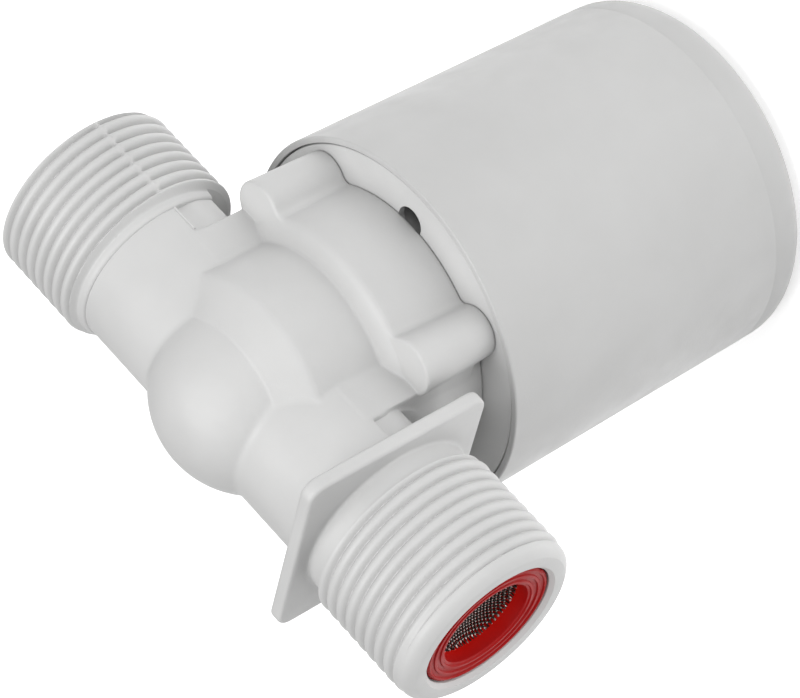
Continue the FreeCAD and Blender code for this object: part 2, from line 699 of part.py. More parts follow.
def pilot_nozzle():
    """Stepped insert with the pilot bore; its tip is the pilot seat."""
    boss_end = "cover_top - cover_thick - boss_drop"
    corners = [
        ("nozzle_bore", "pilot_floor + nozzle_head_thick"),
        ("nozzle_head", "pilot_floor + nozzle_head_thick"),
        ("nozzle_head", "pilot_floor"),
        ("nozzle_radius", "pilot_floor"),
        ("nozzle_radius", boss_end),
        ("nozzle_collar", boss_end),
        ("nozzle_collar", f"{boss_end} - nozzle_head_thick"),
        ("nozzle_tip", "pivot_z + tip_height"),
        ("nozzle_bore", "pivot_z + tip_height"),
    ]
    return node(put(revolved("nozzle", "Z", corners), x="pivot_x + pad_arm"), "pilot_nozzle")


def cover_screws():
    """Four pan-head self-tapping screws from the can's side, one in each lobe."""
    bottom = "cover_top - cover_thick"
    corners = [
        ("0", f"{bottom} - head_height"),
        ("head_crown", f"{bottom} - head_height"),
        ("head_radius", f"{bottom} - head_side"),
        ("head_radius", bottom),
        ("screw_radius", bottom),
        ("screw_radius", f"{bottom} + screw_length"),
        ("0", f"{bottom} + screw_point"),
    ]
    long, wide = "cross_length", "cross_width"
    screws = []
    for number, side in enumerate(LOBES, start=1):
        blank = revolved(f"screw_blank_{number}", "Z", corners)
        slots = []
        for length, width in ((long, wide), (wide, long)):
            slot = box(f"screw_{number}_{length}", length, width, "cross_depth")
            slots.append(put(slot, f"-1 * {length} / 2", f"-1 * {width} / 2", f"{bottom} - head_height"))
        screws.append(put(cut(f"screw_{number}", blank, *slots), *lobe_centre(side)))
    group = doc.addObject("Part::Compound", "screw_group")
    group.Links = screws
    return node(group, "cover_screws")


# ---------------------------------------------------------------- pilot lever, modelled level about its pivot
def drooped(thing):
    """Hang a lever part from the pivot at the resting angle."""
    thing.Placement = Placement(Vector(), Rotation(Vector(0, 1, 0), VALUE["lever_droop"]))
    put(thing, "pivot_x", "0", "pivot_z")
    thing.setExpression(".Placement.Rotation.Angle", "dims.lever_droop * 1 deg")
    return thing


def pilot_lever():
    bore = "pin_radius + pin_play"
    bar = box("lever_bar", "lever_length", "lever_width", "lever_thick")
    put(bar, "0", "-1 * lever_width / 2", "-1 * lever_thick / 2")
    hub = put(along_y(cylinder("lever_hub", "hub_radius", "hub_width")), "0", "-1 * hub_width / 2", "0")
    eye = along_y(cylinder("lever_eye", "eye_radius", "lever_width"))
    put(eye, "lever_length", "-1 * lever_width / 2")
    boss = put(cylinder("pad_holder", "pad_boss", "pad_boss"), "pad_arm", "0", "-1 * lever_thick / 2")
    outside = fuse("lever_outside", bar, hub, eye, boss)
    pivot = put(along_y(cylinder("pivot_hole", bore, "2 * hub_width")), "0", "-1 * hub_width")
    pocket = put(cylinder("pad_hole", "pad_pocket", "pad_boss"), "pad_arm", "0", "pad_low")
    slot = box("link_slot", "link_travel", "2 * hub_width", f"2 * ({bore})")
    put(slot, "lever_length - link_travel / 2", "-1 * hub_width", f"-1 * ({bore})")
    ends = []
    for number, way in enumerate(("-", "+"), start=1):
        end = along_y(cylinder(f"slot_end_{number}", bore, "2 * hub_width"))
        ends.append(put(end, f"lever_length {way} link_travel / 2", "-1 * hub_width"))
    return node(drooped(cut("lever_shape", outside, pivot, pocket, slot, *ends)), "pilot_lever")


def pilot_pad():
    """Rubber pad, its face level with the nozzle's tip when the lever is level."""
    corners = [
        ("0", "pad_low"),
        ("pad_radius", "pad_low"),
        ("pad_radius", "pad_side"),
        ("pad_crown", "pad_face"),
        ("0", "pad_face"),
    ]
    pad = revolved("pad", "Z", corners)
    moved = doc.addObject("Part::Compound", "pad_on_lever")
    moved.Links = [put(pad, "pad_arm")]
    return node(drooped(moved), "pilot_pad")


def lever_pin():
    pin = along_y(cylinder("pivot_pin", "pin_radius", "lever_pin_length"))
    return node(put(pin, "pivot_x", "-1 * lever_pin_length / 2", "pivot_z"), "lever_pin")


# ---------------------------------------------------------------- float
LINK_X = "(pivot_x + lever_length * (1 + cos(lever_droop * 1 deg)) / 2)"
LINK_Z = "(pivot_z - lever_length * sin(lever_droop * 1 deg))"


def float_stem():
    """Clevis on the float's lid, with a peg that goes into the lid."""
    corner_x = f"{LINK_X} - clevis_length / 2"
    base = box("clevis", "clevis_length", "2 * clevis_half", "clevis_base")
    put(base, corner_x, "-1 * clevis_half", "float_top")
    cheeks = []
    for number, side in enumerate(("clevis_half - cheek_thick", "-1 * clevis_half"), start=1):
        cheek = box(f"cheek_{number}", "clevis_length", "cheek_thick", f"{LINK_Z} - float_top")
        cap = along_y(cylinder(f"cheek_cap_{number}", "clevis_length / 2", "cheek_thick"))
        cheeks += [put(cheek, corner_x, side, "float_top"), put(cap, LINK_X, side, LINK_Z)]
    peg = cylinder("stem_peg", "peg_radius", "peg_depth + clevis_base / 4")
    put(peg, z="float_top - peg_depth")
    outside = fuse("stem_outside", base, peg, *cheeks)
    hole = along_y(cylinder("link_hole", "pin_radius", "4 * clevis_half"))
    put(hole, LINK_X, "-2 * clevis_half", LINK_Z)
    return node(cut("stem_shape", outside, hole), "float_stem")


def link_pin():
    pin = along_y(cylinder("link_wire", "pin_radius", "link_pin_length"))
    return node(put(pin, LINK_X, "-1 * link_pin_length / 2", LINK_Z), "link_pin")


def float_lid():
    spigot = "float_radius - float_wall - lid_play"
    bottom = "float_top - lid_thick"
    corners = [
        ("peg_radius + peg_play", "float_top"),
        ("float_radius - lid_chamfer", "float_top"),
        ("float_radius", "float_top - lid_chamfer"),
        ("float_radius", bottom),
        (spigot, bottom),
        (spigot, f"{bottom} - lid_spigot_drop"),
        (f"{spigot} - lid_spigot", f"{bottom} - lid_spigot_drop"),
        (f"{spigot} - lid_spigot", bottom),
        ("socket_radius", bottom),
        ("socket_radius", "float_top - socket_depth"),
        ("0", "float_top - socket_depth"),
        ("0", "float_top - peg_depth - peg_end"),
        ("peg_radius + peg_play", "float_top - peg_depth - peg_end"),
    ]
    return node(revolved("lid", "Z", corners), "float_lid")


def float_shell():
    corners = [
        ("0", "float_bottom"),
        ("float_radius - float_chamfer", "float_bottom"),
        ("float_radius", "float_bottom + float_chamfer"),
        ("float_radius", "float_top - lid_thick"),
        ("float_radius - float_wall", "float_top - lid_thick"),
        ("float_radius - float_wall", "float_bottom + float_wall + float_corner"),
        ("float_radius - float_wall - float_corner", "float_bottom + float_wall"),
        ("0", "float_bottom + float_wall"),
    ]
    return node(revolved("shell", "Z", corners), "float_shell")


def float_cup():
    """Anti-wave can: drafted wall, rounded base edge, ledge and groove that hold the cover."""
    lean = "(cup_rim_radius - cup_base_radius) / (cup_rim - cup_round)"
    ledge = "cover_top - cover_thick"
    corners = [
        ("0", "0"),
        ("cup_base_radius - cup_round", "0"),
    ]
    for turn in ROUND_STEPS:
        across = f"cup_base_radius - cup_round * (1 - sin({turn} deg))"
        corners.append((across, f"cup_round * (1 - cos({turn} deg))"))
    corners += [
        ("cup_base_radius", "cup_round"),
        ("cup_rim_radius", "cup_rim"),
        ("cover_radius + cup_play", "cup_rim"),
        ("cover_radius + cup_play", "cover_top - snap_high"),
        ("cover_radius + groove_reach", "cover_top - snap_middle + snap_flat"),
        ("cover_radius + groove_reach", "cover_top - snap_middle - snap_flat"),
        ("cover_radius + cup_play", "cover_top - snap_low"),
        ("cover_radius + cup_play", f"{ledge} - ledge_play"),
        ("cover_radius - ledge_reach", f"{ledge} - ledge_play"),
        (f"cup_rim_radius - cup_wall - {lean} * (cup_rim - {ledge} + over)", f"{ledge} - over"),
        ("cup_base_radius - cup_wall", "cup_round"),
        ("cup_base_radius - cup_round", "cup_floor"),
        ("0", "cup_floor"),
    ]
    drain = cylinder("drain_hole", "drain_radius", "cup_floor + 2 * over")
    put(drain, x="drain_place", z="-1 * over")
    return node(cut("cup_shape", revolved("cup", "Z", corners), drain), "float_cup")


# ---------------------------------------------------------------- build, check and write
for make in (
    valve_body, strainer_frame, strainer_mesh,
    main_diaphragm, diaphragm_core, diaphragm_guide, core_screw, diaphragm_spring, bleed_pin,
    cover_plate, pilot_nozzle, cover_screws,
    pilot_lever, pilot_pad, lever_pin,
    float_stem, link_pin, float_lid, float_shell, float_cup,
):
    make()
doc.recompute()

for thing in doc.Objects:
    if {"Invalid", "Error"} & set(thing.State):
        raise RuntimeError(f"{thing.Name} ({thing.Label}) failed: {thing.State}")
os.makedirs("parts", exist_ok=True)
for thing in NODES:
    shape = thing.Shape
    if shape.isNull() or not shape.isValid() or shape.Volume <= 0:
        raise RuntimeError(f"{thing.Label} has a bad shape")
for thing in NODES:
    shape = thing.Shape
    shape.exportStep(os.path.join("parts", f"{thing.Label}.step"))
    low = shape.BoundBox
    print(f"{thing.Label:18s} solids {len(shape.Solids)} volume {shape.Volume:9.1f}"
          f"  z {low.ZMin:6.2f}..{low.ZMax:6.2f}  x {low.XMin:6.2f}..{low.XMax:6.2f}")
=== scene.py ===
import math

import bpy
import numpy as np
import openvdb
from mathutils import Matrix, Vector
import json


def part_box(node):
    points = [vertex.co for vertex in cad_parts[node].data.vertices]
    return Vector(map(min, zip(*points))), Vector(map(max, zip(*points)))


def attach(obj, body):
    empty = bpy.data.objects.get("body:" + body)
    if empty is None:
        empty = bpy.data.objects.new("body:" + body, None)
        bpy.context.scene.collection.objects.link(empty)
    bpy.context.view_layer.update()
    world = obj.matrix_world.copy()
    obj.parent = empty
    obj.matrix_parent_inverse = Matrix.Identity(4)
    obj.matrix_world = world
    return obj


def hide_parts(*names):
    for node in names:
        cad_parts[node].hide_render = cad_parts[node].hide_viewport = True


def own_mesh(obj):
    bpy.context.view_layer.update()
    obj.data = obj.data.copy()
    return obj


# Tank float valve. Sizes are in millimetres in the row frame, and mesh_piece() turns them into metres.

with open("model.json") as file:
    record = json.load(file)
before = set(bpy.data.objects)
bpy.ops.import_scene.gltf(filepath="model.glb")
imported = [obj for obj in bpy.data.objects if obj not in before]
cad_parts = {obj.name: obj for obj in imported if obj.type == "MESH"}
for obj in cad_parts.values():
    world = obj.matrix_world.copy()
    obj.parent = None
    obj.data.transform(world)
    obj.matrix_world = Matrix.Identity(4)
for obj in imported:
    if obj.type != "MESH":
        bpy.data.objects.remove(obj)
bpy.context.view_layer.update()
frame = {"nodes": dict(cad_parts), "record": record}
record = frame["record"]
BODY_OF = {node: body for body, nodes in record["behaviour"]["bodies"].items() for node in nodes}
SLOT_OF = {row["node"]: row["material_slot"] for row in record["subparts"]}
METRE = 1000.0


def corners_of(node):
    """Lowest and highest corner of a CAD node, in millimetres."""
    low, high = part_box(node)
    return np.array(low) * METRE, np.array(high) * METRE


# ---------------------------------------------------------------- sizes, in millimetres
body_low, body_high = corners_of("valve_body")
cup_high = corners_of("float_cup")[1]
strainer_low, strainer_high = corners_of("strainer_frame")

OUTLET_END = body_low[0]
INLET_END = body_high[0]
COVER_TOP = body_low[2]
PORT_Z = (strainer_low[2] + strainer_high[2]) / 2
RING_FACE = strainer_high[0]
RING_RADIUS = (strainer_high[1] - strainer_low[1]) / 2
CUP_RIM = cup_high[2]
CUP_RIM_RADIUS = cup_high[0]

# threads: a phase is the share of the pitch at which the groove starts
THREAD_CREST = 13.2
THREAD_ROOT = 12.3
INLET_ROOT_LIFT = 0.2
THREAD_PITCH = 1.814
OUTLET_PHASE = 0.43
INLET_PHASE = 0.43
OUTLET_THREAD = -22.6
INLET_THREAD = 27.9
COLLAR_RADIUS = 12.05
COLLAR_START = -23.1
NOSE_START = 42.6
VALLEY_ROUND = 0.04
CREST_FULLNESS = 2.6
THREAD_COLUMNS = 36
THREAD_SPOKES = 144

# parting line of the threads: the lower mould half is a little off, and the grooves are partly filled
MOULD_MISMATCH = 0.07
OUTLET_SEAM = 0.75
INLET_SEAM = 0.1
SEAM_WIDTH = 0.28
SEAM_HEIGHT = 0.8
SEAM_RUN = 0.3

# pipes, flange, drum and dome
PIPE_RADIUS = 11.6
PIPE_REACH = 0.6
PORT_BORE = 8.0
NECK_RADIUS = 12.15
FLANGE_BACK = 22.2
FLANGE_FRONT = 24.2
FLANGE_HALF = 14.0
FLANGE_SHIFT = 0.8
FLANGE_CORNER = 2.2
FLANGE_EDGE = 0.5
DRUM_RADIUS = 16.4
DRUM_EDGE = 2.9
SHOULDER_RADIUS = 12.6
SHOULDER_EDGE = 6.8
DOME_RADIUS = 13.39
DOME_LIFT = 1.75

# skirt and its screw lobes: the top edge is rounder between the lobes than on them
SKIRT_RADIUS = 19.3
SKIRT_DROP = 8.1
SKIRT_SLOPE = 1.1
SKIRT_FLAT = 18.9
SKIRT_GAP = 0.07
LOBE_X = 14.8
LOBE_Y = 13.7
LOBE_RADIUS = 3.95
LOBE_DRAFT = 0.035
LOBE_FILLET = 1.3
LOBE_EDGE = 0.45
BAND_EDGE = 0.9
LOBE_FADE = (0.2, 1.6)

# block under the ports and the recesses beside it; a ledge is (start, end, drop below the port axis)
BLOCK_HALF = 17.5
RECESS_END = 22.0
RECESS_RADIUS = 10.0
RECESS_TOP = 0.75
LEDGE_HALF = 11.0
LEDGES = ((-22.0, -17.5, 7.2), (17.7, 22.5, 5.4))
COLLAR_NOTCH = -23.4

# fillets where the parts of the moulding meet
FINE_BLEND = 0.3
SOFT_BLEND = 0.4
SKIRT_BLEND = 0.25
FLANGE_BLEND = 0.5

# cover and can: SNAP_MIDDLE is the snap rib's depth below the cover's top
COVER_RADIUS = 24.5
COVER_THICK = 3.0
SNAP_MIDDLE = 1.5
VENT_PLACE = 19.4
VENT_RADIUS = 2.1
BLEED_PLACE = 9.4
CUP_BASE_RADIUS = 24.7
CUP_ROUND = 4.2
CUP_WALL = 1.7
CUP_FLOOR = 2.2
DRAIN_PLACE = 12.0
DRAIN_RADIUS = 1.5

# strainer
RING_HOLE = 6.5
MESH_RIM = 41.7
MESH_RADIUS = 6.45
MESH_DEPTH = 2.2
MESH_PITCH = 0.45
MESH_WIRE = 0.1

# OVERLAP is how far a tool or an inner part reaches past the face that it crosses
OVERLAP = 1.0
VOXEL = 0.28
NOTHING = 1e-6
SHARP_ANGLE = math.radians(40)
CORNERS = ((1, 1), (-1, 1), (-1, -1), (1, -1))


# ---------------------------------------------------------------- mesh helpers
def mesh_piece(name, points, faces):
    """A smooth-shaded mesh object from points in millimetres."""
    mesh = bpy.data.meshes.new(name)
    mesh.from_pydata((np.asarray(points, float) / METRE).tolist(), [], faces)
    mesh.validate()
    mesh.shade_smooth()
    mesh.set_sharp_from_angle(angle=SHARP_ANGLE)
    piece = bpy.data.objects.new(name, mesh)
    bpy.context.scene.collection.objects.link(piece)
    return piece


def rounded(corners, steps=5):
    """Closed outline. A corner is (radius, height) or (radius, height, radius of the corner's arc)."""
    outline = []
    for index, corner in enumerate(corners):
        here = np.array(corner[:2], float)
        if len(corner) < 3:
            outline.append(tuple(here))
            continue
        before = np.array(corners[index - 1][:2], float) - here
        after = np.array(corners[(index + 1) % len(corners)][:2], float) - here
        before /= np.linalg.norm(before)
        after /= np.linalg.norm(after)
        half = math.acos(np.clip(before @ after, -1, 1)) / 2
        centre = here + (before + after) / np.linalg.norm(before + after) * corner[2] / math.sin(half)
        first = here + before * corner[2] / math.tan(half) - centre
        last = here + after * corner[2] / math.tan(half) - centre
        sweep = math.pi - 2 * half
        for share in np.linspace(0, 1, steps + 1):
            spoke = first * math.sin((1 - share) * sweep) + last * math.sin(share * sweep)
            outline.append(tuple(centre + spoke / math.sin(sweep)))
    return outline


def turned_axes(points, axis):
    """Points that were made about Z, turned so that they stand along another axis."""
    order = {"Z": (0, 1, 2), "X": (2, 0, 1), "Y": (1, 2, 0)}[axis]
    return np.asarray(points)[:, order]


def revolve(name, outline, axis="Z", centre=(0, 0, 0), steps=160, wobble=None):
    """Closed solid turned about an axis. An outline point is (radius, height along the axis)."""
    outline = np.array(outline, float)
    following = np.roll(outline, -1, axis=0)
    if (outline[:, 0] * following[:, 1] - following[:, 0] * outline[:, 1]).sum() < 0:
        outline = outline[::-1]
    turns = np.arange(steps) * 2 * math.pi / steps
    points, rings = [], []
    for radius, height in outline:
        if radius < NOTHING:
            rings.append([len(points)])
            points.append((0, 0, height))
            continue
        rings.append(list(range(len(points), len(points) + steps)))
        reach = radius + (wobble(turns, radius, height) if wobble else 0 * turns)
        points.extend(np.column_stack([reach * np.cos(turns), reach * np.sin(turns), 0 * turns + height]))
    faces = []
    for lower, upper in zip(rings, rings[1:] + rings[:1]):
        if len(lower) == 1 and len(upper) == 1:
            continue
        for step in range(steps):
            after = (step + 1) % steps
            if len(lower) == 1:
                faces.append((lower[0], upper[after], upper[step]))
            elif len(upper) == 1:
                faces.append((lower[step], lower[after], upper[0]))
            else:
                faces.append((lower[step], lower[after], upper[after], upper[step]))
    return mesh_piece(name, turned_axes(points, axis) + np.array(centre, float), faces)


def rod(name, radius, low, high, axis="Z", centre=(0, 0, 0), steps=96):
    """Plain round tool for a hole."""
    return revolve(name, [(0, low), (radius, low), (radius, high), (0, high)], axis, centre, steps)


def brick(name, low, high, edge=0.0, turn=0.0, centre=(0, 0, 0)):
    """Box between two corners, its edges rounded by a bevel, turned about Z around a centre."""
    low, high = np.array(low, float), np.array(high, float)
    points = [[(low, high)[bit][axis] for axis, bit in enumerate(bits)] for bits in np.ndindex(2, 2, 2)]
    faces = [(0, 1, 3, 2), (4, 6, 7, 5), (0, 4, 5, 1), (2, 3, 7, 6), (0, 2, 6, 4), (1, 5, 7, 3)]
    spin = np.array(Matrix.Rotation(math.radians(turn), 3, "Z"))
    piece = mesh_piece(name, np.array(points) @ spin.T + np.array(centre, float), faces)
    if edge:
        bevel = piece.modifiers.new("edge", "BEVEL")
        bevel.width = edge / METRE
        bevel.segments = 3
        apply_modifiers(piece)
    return piece


def apply_modifiers(piece):
    """Replace a piece's mesh with the result of its modifiers."""
    bpy.context.view_layer.update()
    shaped = piece.evaluated_get(bpy.context.evaluated_depsgraph_get())
    mesh = bpy.data.meshes.new_from_object(shaped)
    piece.modifiers.clear()
    piece.data = mesh
    mesh.shade_smooth()
    mesh.set_sharp_from_angle(angle=SHARP_ANGLE)
    return piece


def combine(piece, operation, tools):
    """Boolean of a piece with each tool in turn; the tools are used up."""
    for tool in tools:
        modifier = piece.modifiers.new(tool.name, "BOOLEAN")
        modifier.operation = operation
        modifier.solver = "MANIFOLD"
        modifier.object = tool
    apply_modifiers(piece)
    for tool in tools:
        bpy.data.objects.remove(tool)
    return piece


def cut(piece, *tools):
    """Take the tools out of a piece."""
    return combine(piece, "DIFFERENCE", tools)


def join(piece, *tools):
    """Add the tools to a piece."""
    return combine(piece, "UNION", tools)


def at_corner(side_x, side_y):
    """Place of one of the four screws."""
    return (side_x * LOBE_X, side_y * LOBE_Y, 0)


def wire_tube(points, faces, line, outward, upward, radius, sides):
    """Add a closed round wire along a line. Its rings go from the outward to the upward direction."""
    base = len(points)
    for spot, across, up in zip(line, outward, upward):
        for number in range(sides):
            turn = 2 * math.pi * number / sides
            points.append(spot + radius * (math.cos(turn) * across + math.sin(turn) * up))
    for step in range(len(line) - 1):
        low, high = base + step * sides, base + (step + 1) * sides
        for number in range(sides):
            after = (number + 1) % sides
            faces.append((low + number, high + number, high + after, low + after))
    last = base + (len(line) - 1) * sides
    faces.append(tuple(base + number for number in range(sides)))
    faces.append(tuple(last + number for number in reversed(range(sides))))


def stand_for(piece, node, material):
    """The piece takes the node's place, with its body."""
    piece.data.materials.clear()
    piece.data.materials.append(material)
    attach(piece, BODY_OF[node])
    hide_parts(node)
    return piece


# ---------------------------------------------------------------- fields
def smooth_step(value, low, high):
    """0 below low, 1 above high, and an S-shaped curve between them."""
    share = np.clip((value - low) / (high - low), 0, 1)
    return share * share * (3 - 2 * share)


def soft_min(one, other, blend):
    """Union of two distance fields with a fillet."""
    near = np.maximum(blend - np.abs(one - other), 0.0) / blend
    return np.minimum(one, other) - near * near * blend / 4


def soft_max(one, other, blend):
    """Common part of two distance fields with a rounded edge."""
    return -soft_min(-one, -other, blend)


def slab(place, low, high):
    """Distance to the space between two parallel planes."""
    return np.abs(place - (low + high) / 2) - (high - low) / 2


def skirt_field(x, y, z):
    """Skirt with four screw lobes level with its band; z is from the port axis in every field."""
    around = np.hypot(x, y)
    lobe = np.hypot(np.abs(x) - LOBE_X, np.abs(y) - LOBE_Y) - LOBE_RADIUS - LOBE_DRAFT * (z + SKIRT_DROP)
    wall = soft_min(around - SKIRT_RADIUS, lobe, LOBE_FILLET)
    fall = SKIRT_SLOPE / (SKIRT_FLAT - DRUM_RADIUS)
    slope = (z + SKIRT_DROP + fall * (np.minimum(around, SKIRT_FLAT) - SKIRT_FLAT)) / math.hypot(1, fall)
    edge = LOBE_EDGE + (BAND_EDGE - LOBE_EDGE) * smooth_step(lobe, *LOBE_FADE)
    skirt = soft_max(wall, slope, edge)
    return soft_max(skirt, COVER_TOP - PORT_Z + SKIRT_GAP - z, FINE_BLEND)


def drum_field(x, y, z):
    """Drum with its sloping shoulder, and the dome on top."""
    around = np.hypot(x, y)
    rise, run = SHOULDER_EDGE - DRUM_EDGE, DRUM_RADIUS - SHOULDER_RADIUS
    shoulder = ((around - DRUM_RADIUS) * rise + (z - DRUM_EDGE) * run) / math.hypot(rise, run)
    drum = soft_max(around - DRUM_RADIUS, shoulder, SOFT_BLEND)
    drum = np.maximum(drum, z - SHOULDER_EDGE)
    drum = np.maximum(drum, COVER_TOP - PORT_Z + OVERLAP - z)
    dome = np.sqrt(x * x + y * y + (z - DOME_LIFT) ** 2) - DOME_RADIUS
    return soft_min(drum, dome, SOFT_BLEND)


def pipe_field(x, y, z):
    """Plain pipe between the threads; the recesses on the can's side leave a core with flat sides."""
    reach = np.hypot(y, z)
    pipe = np.maximum(reach - PIPE_RADIUS, slab(x, OUTLET_THREAD - PIPE_REACH, INLET_THREAD + PIPE_REACH))
    for start, end, drop in LEDGES:
        ledge = soft_max(np.abs(y) - LEDGE_HALF, slab(z, -drop, 0), FINE_BLEND)
        core = soft_min(ledge, reach - RECESS_RADIUS, SOFT_BLEND)
        recess = np.maximum(np.maximum(slab(x, start, end), -core), z + RECESS_TOP)
        pipe = soft_max(pipe, -recess, FINE_BLEND)
    return pipe


def block_field(x, y, z):
    """Flat-sided block under the ports."""
    sides = soft_max(np.abs(y) - PIPE_RADIUS, np.abs(x) - BLOCK_HALF, SOFT_BLEND)
    return np.maximum(sides, slab(z, COVER_TOP - PORT_Z + 2 * OVERLAP, 0))


def flange_field(x, y, z):
    """Square plate with rounded corners and edges, and the neck in front of it."""
    flat = FLANGE_HALF - FLANGE_CORNER
    beyond_y = np.abs(y - FLANGE_SHIFT) - flat
    beyond_z = np.abs(z - FLANGE_SHIFT) - flat
    outline = np.hypot(np.maximum(beyond_y, 0), np.maximum(beyond_z, 0)) - FLANGE_CORNER
    outline += np.minimum(np.maximum(beyond_y, beyond_z), 0)
    across = outline + FLANGE_EDGE
    along = slab(x, FLANGE_BACK, FLANGE_FRONT) + FLANGE_EDGE
    plate = np.hypot(np.maximum(across, 0), np.maximum(along, 0)) + np.minimum(np.maximum(across, along), 0)
    plate -= FLANGE_EDGE
    neck = np.maximum(np.hypot(y, z) - NECK_RADIUS, slab(x, FLANGE_BACK + OVERLAP, INLET_THREAD + PIPE_REACH))
    return soft_min(plate, neck, SOFT_BLEND)


def body_field(x, y, z):
    """The whole moulding without its threads and passages."""
    ports = soft_min(pipe_field(x, y, z), block_field(x, y, z), FINE_BLEND)
    upper = soft_min(drum_field(x, y, z), ports, SOFT_BLEND)
    whole = soft_min(upper, skirt_field(x, y, z), SKIRT_BLEND)
    return soft_min(whole, flange_field(x, y, z), FLANGE_BLEND)


def field_piece(name, field, low, high, voxel):
    """Closed mesh of a field's zero surface, each point then moved onto it."""
    counts = [int(math.ceil((top - bottom) / voxel)) + 1 for bottom, top in zip(low, high)]
    steps = [bottom + voxel * np.arange(count) for bottom, count in zip(low, counts)]
    values = field(*np.meshgrid(*steps, indexing="ij"))
    band = 3 * voxel
    grid = openvdb.FloatGrid(background=band)
    grid.copyFromArray(np.clip(values, -band, band).astype(np.float32))
    points, quads = grid.convertToQuads()
    points = points.astype(float) * voxel + np.array(low)
    small, passes = voxel / 10, 3
    for _ in range(passes):
        here = field(*points.T)
        slopes = []
        for axis in range(3):
            shift = np.zeros(3)
            shift[axis] = small
            slopes.append((field(*(points + shift).T) - field(*(points - shift).T)) / (2 * small))
        slope = np.array(slopes).T
        points -= np.clip(here / (slope ** 2).sum(1), -voxel, voxel)[:, None] * slope
    points[:, 2] += PORT_Z
    return mesh_piece(name, points, quads.tolist())


# ---------------------------------------------------------------- threads
def thread_piece(name, start, end, crest_limit, valley_fill, root, phase_start, mismatch, seam_fill):
    """Solid round bar along X with a right-handed rounded thread.

    crest_limit(x) is the largest radius, and valley_fill(x) goes to 1 where the groove has run out.
    phase_start and mismatch are shares of the pitch: where the groove runs, and how far the lower mould half
    is shifted along the thread. seam_fill is how far the groove is filled at the parting line.
    """
    columns = int(round((end - start) / THREAD_PITCH * THREAD_COLUMNS))
    places = np.linspace(start, end, columns + 1)
    even = np.linspace(0, 2 * math.pi, THREAD_SPOKES, endpoint=False)
    half_way = THREAD_SPOKES // 2
    seam = np.array([-0.9, -0.55, -0.3, -0.1, 0.1, 0.3, 0.55, 0.9]) / THREAD_CREST
    near_seams = [seam % (2 * math.pi), seam + math.pi]
    turns = np.sort(np.concatenate([even[1:half_way], even[half_way + 1:], *near_seams]))
    x, turn = np.meshgrid(places, turns, indexing="ij")
    from_seam = np.sin(turn) * THREAD_CREST
    lower_half = smooth_step(-from_seam, -SEAM_RUN, SEAM_RUN)
    phase = x / THREAD_PITCH - turn / (2 * math.pi) - phase_start + lower_half * mismatch
    from_valley = 1 - np.abs((phase % 1.0) - 0.5) * 2
    height = 1 - (1 - (np.hypot(from_valley, VALLEY_ROUND) - VALLEY_ROUND)) ** CREST_FULLNESS
    seam_near = np.exp(-(from_seam / SEAM_WIDTH) ** 2) * seam_fill
    height = height + (SEAM_HEIGHT - height) * seam_near
    height = np.maximum(height, valley_fill(x))
    reach = root + (THREAD_CREST - root) * height
    reach = np.minimum(reach, crest_limit(x))
    points = np.column_stack([x.ravel(), (reach * np.cos(turn)).ravel(), (reach * np.sin(turn)).ravel()])
    count = len(turns)
    faces = []
    for column in range(columns):
        base = column * count
        for step in range(count):
            after = (step + 1) % count
            faces.append((base + step, base + after, base + count + after, base + count + step))
    first, last = len(points), len(points) + 1
    points = np.vstack([points, [(start, 0, 0), (end, 0, 0)]])
    top = columns * count
    for step in range(count):
        after = (step + 1) % count
        faces.append((first, after, step))
        faces.append((last, top + step, top + after))
    return mesh_piece(name, points + np.array([0, 0, PORT_Z]), faces)


def outlet_thread():
    """The outlet's thread, with a rounded mouth and a low collar at its inner end."""
    mouth_edge, collar_run, collar_round = 0.5, 1.0, 0.8
    fill_before, fill_after = 0.3, 0.2

    def limit(x):
        mouth = mouth_edge * smooth_step(-x, -OUTLET_END - mouth_edge, -OUTLET_END) ** 2
        collar = (THREAD_CREST - COLLAR_RADIUS) * smooth_step(x, COLLAR_START - collar_run, COLLAR_START)
        edge = np.clip((x + RECESS_END + collar_round) / collar_round, 0, 1)
        return THREAD_CREST - mouth - collar - (COLLAR_RADIUS - PIPE_RADIUS) * (1 - np.sqrt(1 - edge ** 2))

    def fill(x):
        return smooth_step(x, COLLAR_START - fill_before, COLLAR_START + fill_after)

    return thread_piece(
        "outlet_bar", OUTLET_END, -RECESS_END, limit, fill,
        THREAD_ROOT, OUTLET_PHASE, MOULD_MISMATCH, OUTLET_SEAM,
    )


def inlet_thread():
    """The inlet's thread, which ends in a plain nose with a rounded edge."""
    nose_step, nose_step_run, nose_fall, nose_curve = 0.25, 1, 1.25, 2.6
    fill_before, fill_after, lap = 0.4, 0.3, 0.5

    def limit(x):
        share = np.clip((x - NOSE_START) / (INLET_END - NOSE_START), 0, 1)
        step = nose_step * smooth_step(x, NOSE_START - nose_step_run, NOSE_START)
        return THREAD_CREST - step - nose_fall * share ** nose_curve

    def fill(x):
        return smooth_step(x, NOSE_START - fill_before, NOSE_START + fill_after)

    return thread_piece(
        "inlet_bar", INLET_THREAD - lap, INLET_END, limit, fill,
        THREAD_ROOT + INLET_ROOT_LIFT, INLET_PHASE, 0.0, INLET_SEAM,
    )


